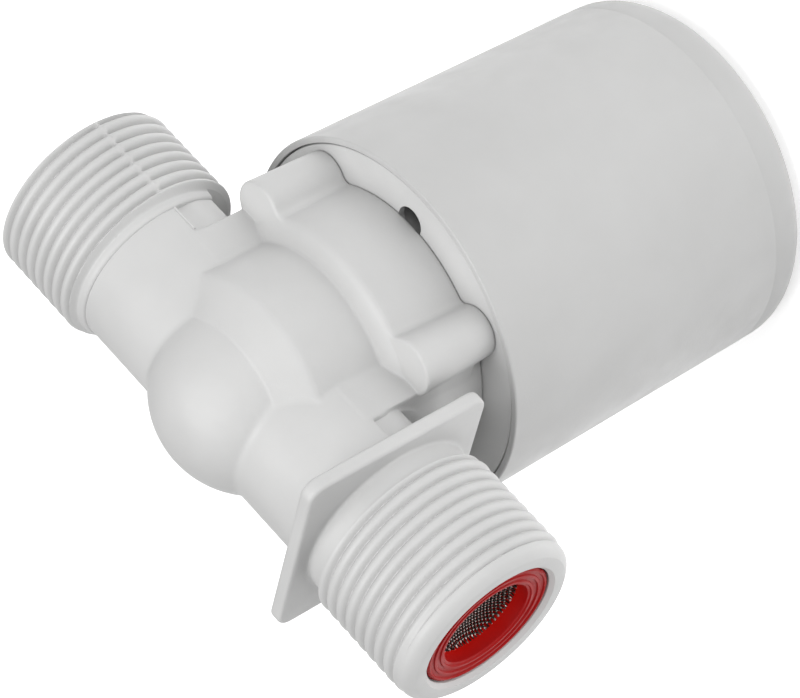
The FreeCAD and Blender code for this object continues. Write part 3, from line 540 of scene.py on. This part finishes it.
# ---------------------------------------------------------------- valve body
def passages():
    """Tools for the ports, seat, diaphragm chamber and screw holes."""
    seat_height, seat_outer, seat_bore = 58.0, 7.8, 5.6
    chamber_radius, chamber_top = 14.6, 62.5
    bead_pocket, bead_top = 16.8, 54.8
    tube_pocket, tube_end = 8.6, RING_FACE - 7.4
    ring_pocket, ring_seat = 9.65, RING_FACE - 1.8
    mouth_radius, mouth_flare = 10.15, 10.4
    outlet_flare, outlet_chamfer = 1.4, 0.4
    drop_long, drop_half, drop_low = 5.4, 5.5, 2.5
    screw_bore, screw_deep = 1.2, 10
    wall_x = seat_outer + 0.9
    inlet = [
        (0, wall_x), (PORT_BORE, wall_x), (PORT_BORE, tube_end), (tube_pocket, tube_end),
        (tube_pocket, ring_seat), (ring_pocket, ring_seat), (ring_pocket, RING_FACE),
        (mouth_radius, INLET_END), (mouth_flare, INLET_END + OVERLAP), (0, INLET_END + OVERLAP),
    ]
    outlet = [
        (0, OUTLET_END - OVERLAP), (PORT_BORE + outlet_flare, OUTLET_END - OVERLAP),
        (PORT_BORE, OUTLET_END + outlet_chamfer), (PORT_BORE, -2 * OVERLAP), (0, -2 * OVERLAP),
    ]
    chamber = [
        (0, COVER_TOP - OVERLAP), (bead_pocket, COVER_TOP - OVERLAP), (bead_pocket, bead_top),
        (chamber_radius, bead_top), (chamber_radius, chamber_top, 0.8), (seat_outer, chamber_top, 0.8),
        (seat_outer, seat_height, 0.4), (seat_bore, seat_height, 0.3), (seat_bore, PORT_Z - OVERLAP),
        (0, PORT_Z - OVERLAP),
    ]
    drop_start = (wall_x, -drop_half, chamber_top - OVERLAP)
    drop_end = (wall_x + drop_long, drop_half, PORT_Z - drop_low)
    tools = [
        revolve("inlet_tool", inlet, "X", (0, 0, PORT_Z), 128),
        revolve("outlet_tool", outlet, "X", (0, 0, PORT_Z), 128),
        revolve("chamber_tool", rounded(chamber), steps=128),
        brick("drop_tool", drop_start, drop_end),
    ]
    low, high = COVER_TOP - OVERLAP, COVER_TOP + screw_deep
    for number, corner in enumerate(CORNERS):
        tools.append(rod(f"screw_tool_{number}", screw_bore, low, high, "Z", at_corner(*corner), 32))
    return tools


def collar_notch():
    """Tool for the deeper part of the outlet's recess, which runs under the end of the thread."""
    drop, reach, past = LEDGES[0][2], THREAD_CREST + OVERLAP, -RECESS_END + OVERLAP
    notch = brick("notch", (COLLAR_NOTCH, -reach, PORT_Z - reach), (past, reach, PORT_Z - drop))
    core = rod("notch_core", RECESS_RADIUS, COLLAR_NOTCH - OVERLAP, past + OVERLAP, "X", (0, 0, PORT_Z))
    return cut(notch, core)


def seam_flash():
    """Thin bead of flash along the edge of the outlet's recess."""
    bead, lift, start, end = 0.15, 0.05, OUTLET_THREAD - 0.2, -BLOCK_HALF - 0.4
    edge = math.sqrt(PIPE_RADIUS ** 2 - RECESS_TOP ** 2)
    return rod("flash", bead, start, end, "X", (0, edge, PORT_Z - RECESS_TOP + lift), 16)


def valve_shell(material):
    """The whole moulding: body, threads and flash, with the passages cut out."""
    half_wide, thread_part = 25.0, 1.5
    low = (OUTLET_THREAD - thread_part, -half_wide, COVER_TOP - PORT_Z - OVERLAP)
    high = (INLET_THREAD + thread_part, half_wide, DOME_LIFT + DOME_RADIUS + OVERLAP)
    shell = field_piece("valve_body_shell", body_field, low, high, VOXEL)
    join(shell, outlet_thread(), inlet_thread(), seam_flash())
    cut(shell, collar_notch(), *passages())
    return stand_for(shell, "valve_body", material)


# ---------------------------------------------------------------- can and cover
def float_can(material):
    """Drafted can with a round base edge, a faint line above it, a rim, and the cover's ledge and groove."""
    ledge = COVER_TOP - COVER_THICK - 0.02
    play, crack, lip = COVER_RADIUS + 0.1, COVER_RADIUS + 0.14, COVER_RADIUS - 0.6
    groove, groove_half = COVER_RADIUS + 0.4, 0.6
    lip_fall, wall_thinner, floor_round = 1.18, 0.1, 2.6
    base_line = [(0.05, 5.8), (-0.02, 6.1), (-0.02, 6.3), (0.11, 6.6)]
    outline = rounded([
        (0, 0), (CUP_BASE_RADIUS, 0, CUP_ROUND),
        *[(CUP_BASE_RADIUS + step, height) for step, height in base_line],
        (CUP_RIM_RADIUS, CUP_RIM, 0.25), (crack, CUP_RIM, 0.15),
        (play, COVER_TOP - SNAP_MIDDLE + groove_half), (groove, COVER_TOP - SNAP_MIDDLE),
        (play, COVER_TOP - SNAP_MIDDLE - groove_half), (play, ledge), (lip, ledge),
        (CUP_RIM_RADIUS - CUP_WALL - wall_thinner, ledge - lip_fall),
        (CUP_BASE_RADIUS - CUP_WALL, CUP_FLOOR, floor_round), (0, CUP_FLOOR),
    ], 10)
    can = revolve("float_can", outline, steps=256)
    cut(can, rod("drain_tool", DRAIN_RADIUS, -OVERLAP, CUP_FLOOR + OVERLAP, centre=(DRAIN_PLACE, 0, 0)))
    return stand_for(can, "float_cup", material)


def cover_disc(material):
    """Cover with the pilot chamber's wall above, and the nozzle boss and lever ears below."""
    bottom = COVER_TOP - COVER_THICK
    pilot_floor, pilot_radius, bead_radius, wall_top = 50.6, 12.4, 14.4, COVER_TOP + 1.2
    rib, rib_half = COVER_RADIUS + 0.3, 0.5
    pivot_x, pivot_z, pivot_hole = -16.0, 43.6, 1.0
    ear_half, ear_low, ear_thick, ear_gap = 2.3, 2.2, 1.8, 3.0
    nozzle_x, nozzle_hole, boss_radius, boss_low = -7.0, 1.6, 3.0, 2
    wire_hole, wire_deep, screw_hole = 0.35, 0.8, 1.4
    vent_relief, vent_skin = 0.8, 0.9
    outline = rounded([
        (0, pilot_floor), (pilot_radius, pilot_floor, 0.4), (pilot_radius, wall_top, 0.3),
        (bead_radius, wall_top, 0.3), (bead_radius, COVER_TOP, 0.3), (COVER_RADIUS - 0.1, COVER_TOP, 0.2),
        (COVER_RADIUS, COVER_TOP - SNAP_MIDDLE + rib_half), (rib, COVER_TOP - SNAP_MIDDLE),
        (COVER_RADIUS, COVER_TOP - SNAP_MIDDLE - rib_half), (COVER_RADIUS, bottom, 0.3), (0, bottom),
    ])
    disc = revolve("cover_disc", outline, steps=256)
    ears = []
    for side, start in (("left", ear_gap), ("right", -ear_gap - ear_thick)):
        low = (pivot_x - ear_half, start, pivot_z - ear_low)
        high = (pivot_x + ear_half, start + ear_thick, bottom + 0.2)
        ears.append(brick(f"ear_{side}", low, high, 0.4))
    join(disc, rod("boss", boss_radius, bottom - boss_low, bottom + 0.4, centre=(nozzle_x, 0, 0)), *ears)
    vent, nozzle, wire = (0, VENT_PLACE, 0), (nozzle_x, 0, 0), (BLEED_PLACE, 0, 0)
    tools = [
        rod("vent", VENT_RADIUS, bottom - OVERLAP, COVER_TOP + 2 * OVERLAP, centre=vent),
        rod("vent_relief", VENT_RADIUS + vent_relief, bottom - OVERLAP, COVER_TOP - vent_skin, centre=vent),
        rod("nozzle_hole", nozzle_hole, bottom - boss_low - OVERLAP, COVER_TOP, centre=nozzle, steps=48),
        rod("wire_hole", wire_hole, pilot_floor - wire_deep, pilot_floor + 0.1, centre=wire, steps=24),
        rod("ear_hole", pivot_hole, -7, 7, "Y", (pivot_x, 0, pivot_z), 32),
    ]
    low, high = bottom - OVERLAP, COVER_TOP + OVERLAP
    for number, corner in enumerate(CORNERS):
        tools.append(rod(f"hole_{number}", screw_hole, low, high, "Z", at_corner(*corner), 32))
    cut(disc, *tools)
    return stand_for(disc, "cover_plate", material)


# ---------------------------------------------------------------- strainer
def strainer_ring(material):
    """Stepped ring face with a ragged moulded edge, and the tube that holds the gauze."""
    rng = np.random.default_rng(7)
    steps, slowest, fastest = 288, 2, 60
    noise = rng.normal(size=steps)
    spectrum = np.fft.rfft(noise)
    spectrum[fastest:] = 0
    spectrum[:slowest] = 0
    ragged = np.fft.irfft(spectrum, steps)
    ragged /= np.abs(ragged).max()
    ragged_deep, ragged_wide, ragged_high, ragged_power = 0.24, 0.5, 0.8, 0.7

    def wobble(turns, radius, height):
        outer = smooth_step(radius, RING_RADIUS - ragged_wide, RING_RADIUS)
        front = smooth_step(height, RING_FACE - ragged_high, RING_FACE)
        return -ragged_deep * (outer * front) * np.abs(ragged) ** ragged_power

    tube, tube_back, tube_draft, ring_back, hole_depth = 8.45, 38.4, 0.02, RING_FACE - 1.7, 0.35
    face = [
        (9.15, 0.0), (8.95, 0.02), (8.85, 0.22), (8.4, 0.22), (8.3, 0.05), (7.95, 0.05), (7.85, 0.27),
        (7.4, 0.27), (7.3, 0.1), (6.95, 0.1), (6.85, 0.3),
    ]
    outline = rounded([
        (RING_RADIUS, ring_back, 0.2), (RING_RADIUS, RING_FACE - 0.2, 0.15),
        *[(radius, RING_FACE - depth, 0.05) for radius, depth in face],
        (RING_HOLE, RING_FACE - hole_depth, 0.15), (RING_HOLE - tube_draft, tube_back, 0.15),
        (tube, tube_back, 0.2), (tube, ring_back, 0.1),
    ])
    ring = revolve("strainer_ring", outline, "X", (0, 0, PORT_Z), steps, wobble)
    return stand_for(ring, "strainer_frame", material)


def gauze(material):
    """Woven wire dome: two families of wires that pass over and under each other."""
    sides, rim_gap, weave_height, least_steps, steps_per_mm = 6, 0.3, 0.9, 24, 20
    points, faces = [], []
    count = int(MESH_RADIUS / MESH_PITCH)
    spots = [MESH_PITCH * (number + 0.5) for number in range(-count - 1, count + 1)]
    for family in (0, 1):
        for index, offset in enumerate(spots):
            if abs(offset) > MESH_RADIUS - rim_gap:
                continue
            half = math.sqrt(MESH_RADIUS ** 2 - offset ** 2)
            angles = np.linspace(-math.pi / 2, math.pi / 2, max(least_steps, int(half * steps_per_mm)))
            along = half * np.sin(angles)
            depth = MESH_DEPTH * half / MESH_RADIUS * np.cos(angles)
            wave = math.pi * (along / MESH_PITCH - 0.5) + math.pi * (index + family)
            weave = MESH_WIRE * weave_height * np.cos(wave)
            line = np.zeros((len(angles), 3))
            line[:, 0] = MESH_RIM - depth
            line[:, 1 + family] = along
            line[:, 2 - family] = offset
            normal = np.column_stack([
                depth / MESH_DEPTH ** 2, -line[:, 1] / MESH_RADIUS ** 2, -line[:, 2] / MESH_RADIUS ** 2
            ])
            normal /= np.linalg.norm(normal, axis=1)[:, None]
            line += normal * weave[:, None]
            tangent = np.gradient(line, axis=0)
            tangent /= np.linalg.norm(tangent, axis=1)[:, None]
            side = np.cross(tangent, normal)
            side /= np.linalg.norm(side, axis=1)[:, None]
            wire_tube(points, faces, line, side, np.cross(side, tangent), MESH_WIRE, sides)
    piece = mesh_piece("strainer_gauze", np.array(points) + np.array([0, 0, PORT_Z]), faces)
    return stand_for(piece, "strainer_mesh", material)


# ---------------------------------------------------------------- pieces inside
# The outlines below are lists of (radius, height above the can's base, radius of the corner's arc).

def turned(node, outline, material, steps=96):
    """Solid turned about the valve's axis that stands for a CAD node."""
    return stand_for(revolve(f"{node}_look", rounded(outline), steps=steps), node, material)


def soft_diaphragm(material):
    """Rubber disc with a thick bead, a rolled web and a flat middle; it follows the diaphragm's lift."""
    rim, bead_inner, bead_low, bead_high = 16.7, 14.68, 52.42, 54.68
    hole, middle_low, middle_high, web_low = 1.35, 56.52, 57.93, 53.92
    bleed_hole, keep, still = 0.6, 0.46, (0, 0, 0.0539)
    outline = rounded([
        (rim, bead_low, 0.4), (rim, bead_high, 0.4), (14.2, bead_high, 0.5), (13.1, 55.9, 0.8),
        (12.2, 57.9, 1.2), (hole, middle_high, 0.1), (hole, middle_low, 0.1), (10.5, middle_low, 0.8),
        (11.9, 55.0, 0.8), (13.3, web_low, 0.8), (bead_inner, web_low, 0.2), (bead_inner, bead_low, 0.2),
    ])
    piece = revolve("diaphragm_look", outline, steps=160)
    cut(piece, rod("bleed_tool", bleed_hole, 53.0, 59.0, centre=(BLEED_PLACE, 0, 0), steps=32))
    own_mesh(stand_for(piece, "main_diaphragm", material))


def closing_spring(material):
    """Wire helix with closed, flattened ends."""
    wire, coil, low, high, turns, sides = 0.28, 3.4, 50.93, 54.77, 3.5, 10
    spots, flat_share, keep, still = 200, 0.18, 0.51, (0, 0, 0.0506)
    shares = np.linspace(0, 1, spots)
    rise = np.clip((shares - flat_share) / (1 - 2 * flat_share), 0, 1)
    angles = shares * turns * 2 * math.pi
    line = np.column_stack([coil * np.cos(angles), coil * np.sin(angles), low + (high - low) * rise])
    outward = np.column_stack([np.cos(angles), np.sin(angles), 0 * angles])
    upward = np.tile((0, 0, 1), (spots, 1))
    points, faces = [], []
    wire_tube(points, faces, line, outward, upward, wire, sides)
    piece = stand_for(mesh_piece("spring_look", points, faces), "diaphragm_spring", material)
    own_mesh(piece)


def diaphragm_parts(plain, metal):
    """Backing disc, winged guide and the screw that holds them together."""
    shaft, hole, hub_radius, disc_radius = 0.75, 0.85, 2.4, 7.9
    turned("diaphragm_core", [
        (hole, 54.9), (hub_radius, 54.9, 0.3), (hub_radius, 55.1), (disc_radius, 55.1, 0.4),
        (disc_radius, 56.45, 0.3), (1.25, 56.45), (1.25, 59.4), (hole, 59.4),
    ], plain)
    hub_low, hub_high = 58.0, 64.5
    hub = revolve("guide_look", rounded([
        (1.3, hub_low), (hub_radius, hub_low), (hub_radius, hub_high, 0.5), (0, hub_high), (0, 62.6),
        (shaft, 62.6), (shaft, 59.5), (1.3, 59.5),
    ]), steps=64)
    wing_low, wing_high = (2.0, -0.6, 58.5), (5.4, 0.6, hub_high)
    wings = [brick(f"wing_{turn}", wing_low, wing_high, 0.25, turn) for turn in (0, 90, 180, 270)]
    stand_for(join(hub, *wings), "diaphragm_guide", plain)
    head = revolve("core_screw_look", rounded([
        (0, 54.0), (1.6, 54.0, 0.35), (1.6, 54.9), (shaft, 54.9), (shaft, 62.2, 0.2), (0, 62.4),
    ]), steps=48)
    stand_for(cut(head, brick("slot", (-3, -0.2, 53.9), (3, 0.2, 54.4))), "core_screw", metal)


def screw_set(metal):
    """Four pan-head screws with a cross recess and a coarse thread."""
    head_radius, root, crest, tip = 2.3, 0.9, 1.13, 61.4
    ridges, first_ridge, pitch = 11, 50.0, 0.9
    cross_long, cross_wide, cross_low, cross_high = 1.4, 0.3, 47.5, 48.6
    screws = []
    for number, corner in enumerate(CORNERS):
        head = [(0, 47.7), (1.8, 47.7, 0.2), (head_radius, 48.4, 0.4), (head_radius, 49.4, 0.1), (0.95, 49.4)]
        thread = []
        for ridge in range(ridges):
            height = first_ridge + ridge * pitch
            thread += [(root, height), (crest, height + 0.35), (crest, height + 0.45), (root, height + 0.8)]
        outline = [*head, *thread, (0.8, 60.2), (0, tip)]
        place = at_corner(*corner)
        blank = revolve(f"screw_{number}", rounded(outline), "Z", place, 40)
        cross = [
            brick(f"cross_{number}_{way}", (-long, -wide, cross_low), (long, wide, cross_high), centre=place)
            for way, long, wide in (("a", cross_long, cross_wide), ("b", cross_wide, cross_long))
        ]
        screws.append(cut(blank, *cross))
    whole = join(screws[0], *screws[1:])
    stand_for(whole, "cover_screws", metal)


def float_pieces(material):
    """Hollow float, and its lid with the stem's socket."""
    outer, inner, shell_low, shell_high = 21.0, 19.7, 2.7, 34.4
    turned("float_shell", [
        (0, shell_low), (outer, shell_low, 2.6), (outer, shell_high, 0.2), (inner, shell_high, 0.2),
        (inner, 4.0, 1.6), (0, 4.0),
    ], material, steps=192)
    lid_top, socket, boss, boss_low = 36.0, 2.0, 4.0, 30.0
    turned("float_lid", [
        (socket, lid_top, 0.1), (outer, lid_top, 0.45), (outer, 34.42, 0.1), (19.6, shell_high),
        (19.6, 32.8, 0.2), (18.5, 32.8, 0.2), (18.5, shell_high, 0.3), (boss, shell_high, 0.3),
        (boss, boss_low, 0.3), (0, boss_low), (0, 31.3), (socket, 31.3),
    ], material, steps=192)


# ---------------------------------------------------------------- materials
def node_tree(name):
    """New material; returns it with its nodes, links and shader."""
    material = bpy.data.materials.new(name)
    material.use_nodes = True
    nodes, links = material.node_tree.nodes, material.node_tree.links
    return material, nodes, links, nodes["Principled BSDF"]


def noise(nodes, links, scale, detail=3.0, stretch=None):
    """Noise in object space, at a scale in features per metre."""
    place = nodes.new("ShaderNodeTexCoord")
    texture = nodes.new("ShaderNodeTexNoise")
    texture.inputs["Scale"].default_value = scale
    texture.inputs["Detail"].default_value = detail
    if stretch is None:
        links.new(place.outputs["Object"], texture.inputs["Vector"])
        return texture.outputs["Fac"]
    mapping = nodes.new("ShaderNodeMapping")
    mapping.inputs["Scale"].default_value = stretch
    links.new(place.outputs["Object"], mapping.inputs["Vector"])
    links.new(mapping.outputs["Vector"], texture.inputs["Vector"])
    return texture.outputs["Fac"]


def object_axes(nodes, links):
    """Outputs X, Y and Z of the place in object space, in metres."""
    place = nodes.new("ShaderNodeTexCoord")
    split = nodes.new("ShaderNodeSeparateXYZ")
    links.new(place.outputs["Object"], split.inputs["Vector"])
    return split.outputs


def maths(nodes, links, operation, source, second=None):
    """Math node on a source; its second value is a number or another source."""
    node = nodes.new("ShaderNodeMath")
    node.operation = operation
    links.new(source, node.inputs[0])
    if isinstance(second, float):
        node.inputs[1].default_value = second
    elif second is not None:
        links.new(second, node.inputs[1])
    return node.outputs["Value"]


def ramp(nodes, links, source, stops):
    """Colours at places of a 0 to 1 value."""
    colours = nodes.new("ShaderNodeValToRGB")
    for number, (place, colour) in enumerate(stops):
        if number < 2:
            stop = colours.color_ramp.elements[number]
            stop.position = place
        else:
            stop = colours.color_ramp.elements.new(place)
        stop.color = (*colour, 1.0)
    links.new(source, colours.inputs["Fac"])
    return colours.outputs["Color"]


def spread(nodes, links, source, low, high):
    """A 0.3 to 0.7 value stretched over low to high."""
    mapped = nodes.new("ShaderNodeMapRange")
    mapped.inputs["From Min"].default_value = 0.3
    mapped.inputs["From Max"].default_value = 0.7
    mapped.inputs["To Min"].default_value = low
    mapped.inputs["To Max"].default_value = high
    links.new(source, mapped.inputs["Value"])
    return mapped.outputs["Result"]


def bump(nodes, links, shader, source, depth):
    """Relief of a depth in millimetres on the shader's normal, on top of any earlier one."""
    relief = nodes.new("ShaderNodeBump")
    relief.inputs["Distance"].default_value = depth / METRE
    links.new(source, relief.inputs["Height"])
    for link in list(shader.inputs["Normal"].links):
        links.new(link.from_socket, relief.inputs["Normal"])
    links.new(relief.outputs["Normal"], shader.inputs["Normal"])


def plastic(name, pale, dark, gloss=(0.42, 0.56)):
    """Moulded plastic: faint colour clouds, slow waviness of the mould and spark-eroded grain."""
    material, nodes, links, shader = node_tree(name)
    clouds = noise(nodes, links, scale=90.0, detail=4.0)
    smears = noise(nodes, links, scale=260.0)
    waviness = noise(nodes, links, scale=350.0, detail=2.0)
    grain = noise(nodes, links, scale=3200.0, detail=2.0)
    links.new(ramp(nodes, links, clouds, [(0.3, dark), (0.7, pale)]), shader.inputs["Base Color"])
    links.new(spread(nodes, links, smears, *gloss), shader.inputs["Roughness"])
    bump(nodes, links, shader, waviness, depth=0.02)
    bump(nodes, links, shader, grain, depth=0.012)
    shader.inputs["Specular IOR Level"].default_value = 0.4
    return material


def red_with_painted_glow(name):
    """Red plastic with painted light: the thin tube behind the ring is painted brighter red as a painted glow
    of light through its wall, and the thick ring darker.
    """
    material, nodes, links, shader = node_tree(name)
    tube_depth, ring_depth = 2.2, 0.3
    depth = nodes.new("ShaderNodeMapRange")
    depth.inputs["From Min"].default_value = (RING_FACE - tube_depth) / METRE
    depth.inputs["From Max"].default_value = (RING_FACE - ring_depth) / METRE
    links.new(object_axes(nodes, links)["X"], depth.inputs["Value"])
    # painted glow: the tube's red is brighter than the ring's, standing in for light shining through the thin
    # wall
    stops = [(0.0, (0.58, 0.006, 0.003)), (1.0, (0.34, 0.005, 0.005))]
    links.new(ramp(nodes, links, depth.outputs["Result"], stops), shader.inputs["Base Color"])
    smears = noise(nodes, links, scale=300.0)
    links.new(spread(nodes, links, smears, low=0.35, high=0.55), shader.inputs["Roughness"])
    bump(nodes, links, shader, noise(nodes, links, scale=1400.0), depth=0.02)
    shader.inputs["Specular IOR Level"].default_value = 0.12
    return material


def rubber(name):
    """Matt black rubber with faint clouds."""
    material, nodes, links, shader = node_tree(name)
    clouds = noise(nodes, links, scale=300.0, detail=5.0)
    stops = [(0.3, (0.012, 0.012, 0.013)), (0.7, (0.035, 0.034, 0.034))]
    links.new(ramp(nodes, links, clouds, stops), shader.inputs["Base Color"])
    links.new(spread(nodes, links, clouds, low=0.6, high=0.8), shader.inputs["Roughness"])
    bump(nodes, links, shader, noise(nodes, links, scale=2500.0), depth=0.02)
    return material


def steel(name, pale, dark):
    """Drawn steel with fine lines and a few dull spots."""
    material, nodes, links, shader = node_tree(name)
    lines = noise(nodes, links, scale=1500.0, stretch=(1.0, 1.0, 0.12))
    links.new(ramp(nodes, links, lines, [(0.3, dark), (0.7, pale)]), shader.inputs["Base Color"])
    links.new(spread(nodes, links, lines, low=0.22, high=0.4), shader.inputs["Roughness"])
    bump(nodes, links, shader, lines, depth=0.004)
    shader.inputs["Metallic"].default_value = 1.0
    return material


def wire_with_painted_glints(name):
    """Dull dark wire whose colour is painted bright where one wire passes over another: painted highlights on
    the crossings.
    """
    material, nodes, links, shader = node_tree(name)
    axes = object_axes(nodes, links)
    waves = []
    for axis, middle in (("Y", 0.0), ("Z", PORT_Z)):
        from_middle = maths(nodes, links, "SUBTRACT", axes[axis], float(middle / METRE))
        turns = maths(nodes, links, "MULTIPLY", from_middle, math.pi / MESH_PITCH * METRE)
        waves.append(maths(nodes, links, "ABSOLUTE", maths(nodes, links, "SINE", turns)))
    # painted highlight: the colour ramps to near white at the crossings of the wires
    painted_glint = maths(nodes, links, "MULTIPLY", *waves)
    stops = [(0.4, (0.02, 0.016, 0.014)), (0.7, (0.2, 0.18, 0.16)), (0.88, (0.95, 0.93, 0.9))]
    links.new(ramp(nodes, links, painted_glint, stops), shader.inputs["Base Color"])
    smears = noise(nodes, links, scale=900.0)
    links.new(spread(nodes, links, smears, low=0.2, high=0.35), shader.inputs["Roughness"])
    shader.inputs["Metallic"].default_value = 0.45
    return material


white = plastic("white_plastic_look", (0.54, 0.54, 0.537), (0.505, 0.505, 0.502))
# painted shade: a darker copy of the white plastic, for the can
can_white_painted_shade = plastic("can_plastic_look", (0.48, 0.48, 0.477), (0.455, 0.455, 0.452), gloss=(0.36, 0.5))
red = red_with_painted_glow("red_plastic_look")
acetal = plastic("acetal_look", (0.64, 0.63, 0.60), (0.55, 0.54, 0.51), gloss=(0.3, 0.42))
milky = plastic("float_look", (0.76, 0.76, 0.73), (0.68, 0.68, 0.65), gloss=(0.34, 0.5))
black = rubber("rubber_look")
wire_steel = wire_with_painted_glints("gauze_look")
bright_steel = steel("steel_look", (0.72, 0.72, 0.71), (0.50, 0.50, 0.49))

# one look for each material slot; the can gets a darker copy of the white plastic, painted shade for its less
# lit side
LOOKS = {
    "white_plastic": white,
    "red_plastic": red,
    "mesh_steel": wire_steel,
    "stainless": bright_steel,
    "black_rubber": black,
    "grey_acetal": acetal,
    "float_plastic": milky,
}


# ---------------------------------------------------------------- pieces
valve_shell(white)
float_can(can_white_painted_shade)
cover_disc(white)
strainer_ring(red)
gauze(wire_steel)
soft_diaphragm(black)
closing_spring(bright_steel)
diaphragm_parts(acetal, bright_steel)
screw_set(bright_steel)
float_pieces(milky)

# the nodes that keep their CAD shape
for node, thing in frame["nodes"].items():
    thing.data.materials.clear()
    thing.data.materials.append(LOOKS[SLOT_OF[node]])


# ---------------------------------------------------------------- floor, light and camera
def pale_floor():
    """Bright white floor just under the can's base."""
    half, level = 3.0, -0.0001
    spots = [(-half, -half, level), (half, -half, level), (half, half, level), (-half, half, level)]
    mesh = bpy.data.meshes.new("floor")
    mesh.from_pydata(spots, [], [(0, 1, 2, 3)])
    floor = bpy.data.objects.new("floor", mesh)
    bpy.context.scene.collection.objects.link(floor)
    material, nodes, links, shader = node_tree("floor_look")
    clouds = noise(nodes, links, scale=4.0)
    stops = [(0.3, (0.97, 0.97, 0.97)), (0.7, (0.98, 0.98, 0.98))]
    links.new(ramp(nodes, links, clouds, stops), shader.inputs["Base Color"])
    shader.inputs["Roughness"].default_value = 0.9
    shader.inputs["Emission Color"].default_value = (1.0, 1.0, 1.0, 1.0)
    shader.inputs["Emission Strength"].default_value = 0.4
    mesh.materials.append(material)


def soft_light(name, place, power, size):
    """Square area light that points at the middle of the valve; places are in metres."""
    light = bpy.data.lights.new(name, "AREA")
    light.energy = power
    light.size = size
    lamp = bpy.data.objects.new(name, light)
    lamp.location = place
    middle = Vector((0, 0, 0.06))
    lamp.rotation_euler = (middle - Vector(place)).to_track_quat("-Z", "Y").to_euler()
    bpy.context.scene.collection.objects.link(lamp)


def studio():
    """White surroundings, a large key light above and a second one on the camera's side."""
    world = bpy.data.worlds.new("studio")
    world.use_nodes = True
    background = world.node_tree.nodes["Background"]
    background.inputs["Color"].default_value = (1.0, 1.0, 1.0, 1.0)
    background.inputs["Strength"].default_value = 0.3
    scene = bpy.context.scene
    scene.world = world
    scene.view_settings.view_transform = "Standard"
    soft_light("key", place=(0.05, 0.1, 0.98), power=8.1, size=0.7)
    soft_light("side", place=(0.2, 0.8, 0.35), power=2.45, size=0.6)


def photo_camera():
    """Camera on the inlet's side of the valve, rolled so that the can points to the upper right."""
    place = Vector((207.044, 380.310, 307.669)) / METRE
    aim = Vector((19.430, 27.551, 72.0)) / METRE
    roll = math.radians(118.381)
    lens = bpy.data.cameras.new("camera")
    lens.lens = 176.64
    lens.sensor_width = 36.0
    lens.clip_start = 0.01
    camera = bpy.data.objects.new("camera", lens)
    level = (aim - place).to_track_quat("-Z", "Y").to_matrix()
    camera.matrix_world = Matrix.Translation(place) @ (level @ Matrix.Rotation(-roll, 3, "Z")).to_4x4()
    bpy.context.scene.collection.objects.link(camera)
    bpy.context.scene.camera = camera


pale_floor()
studio()
photo_camera()
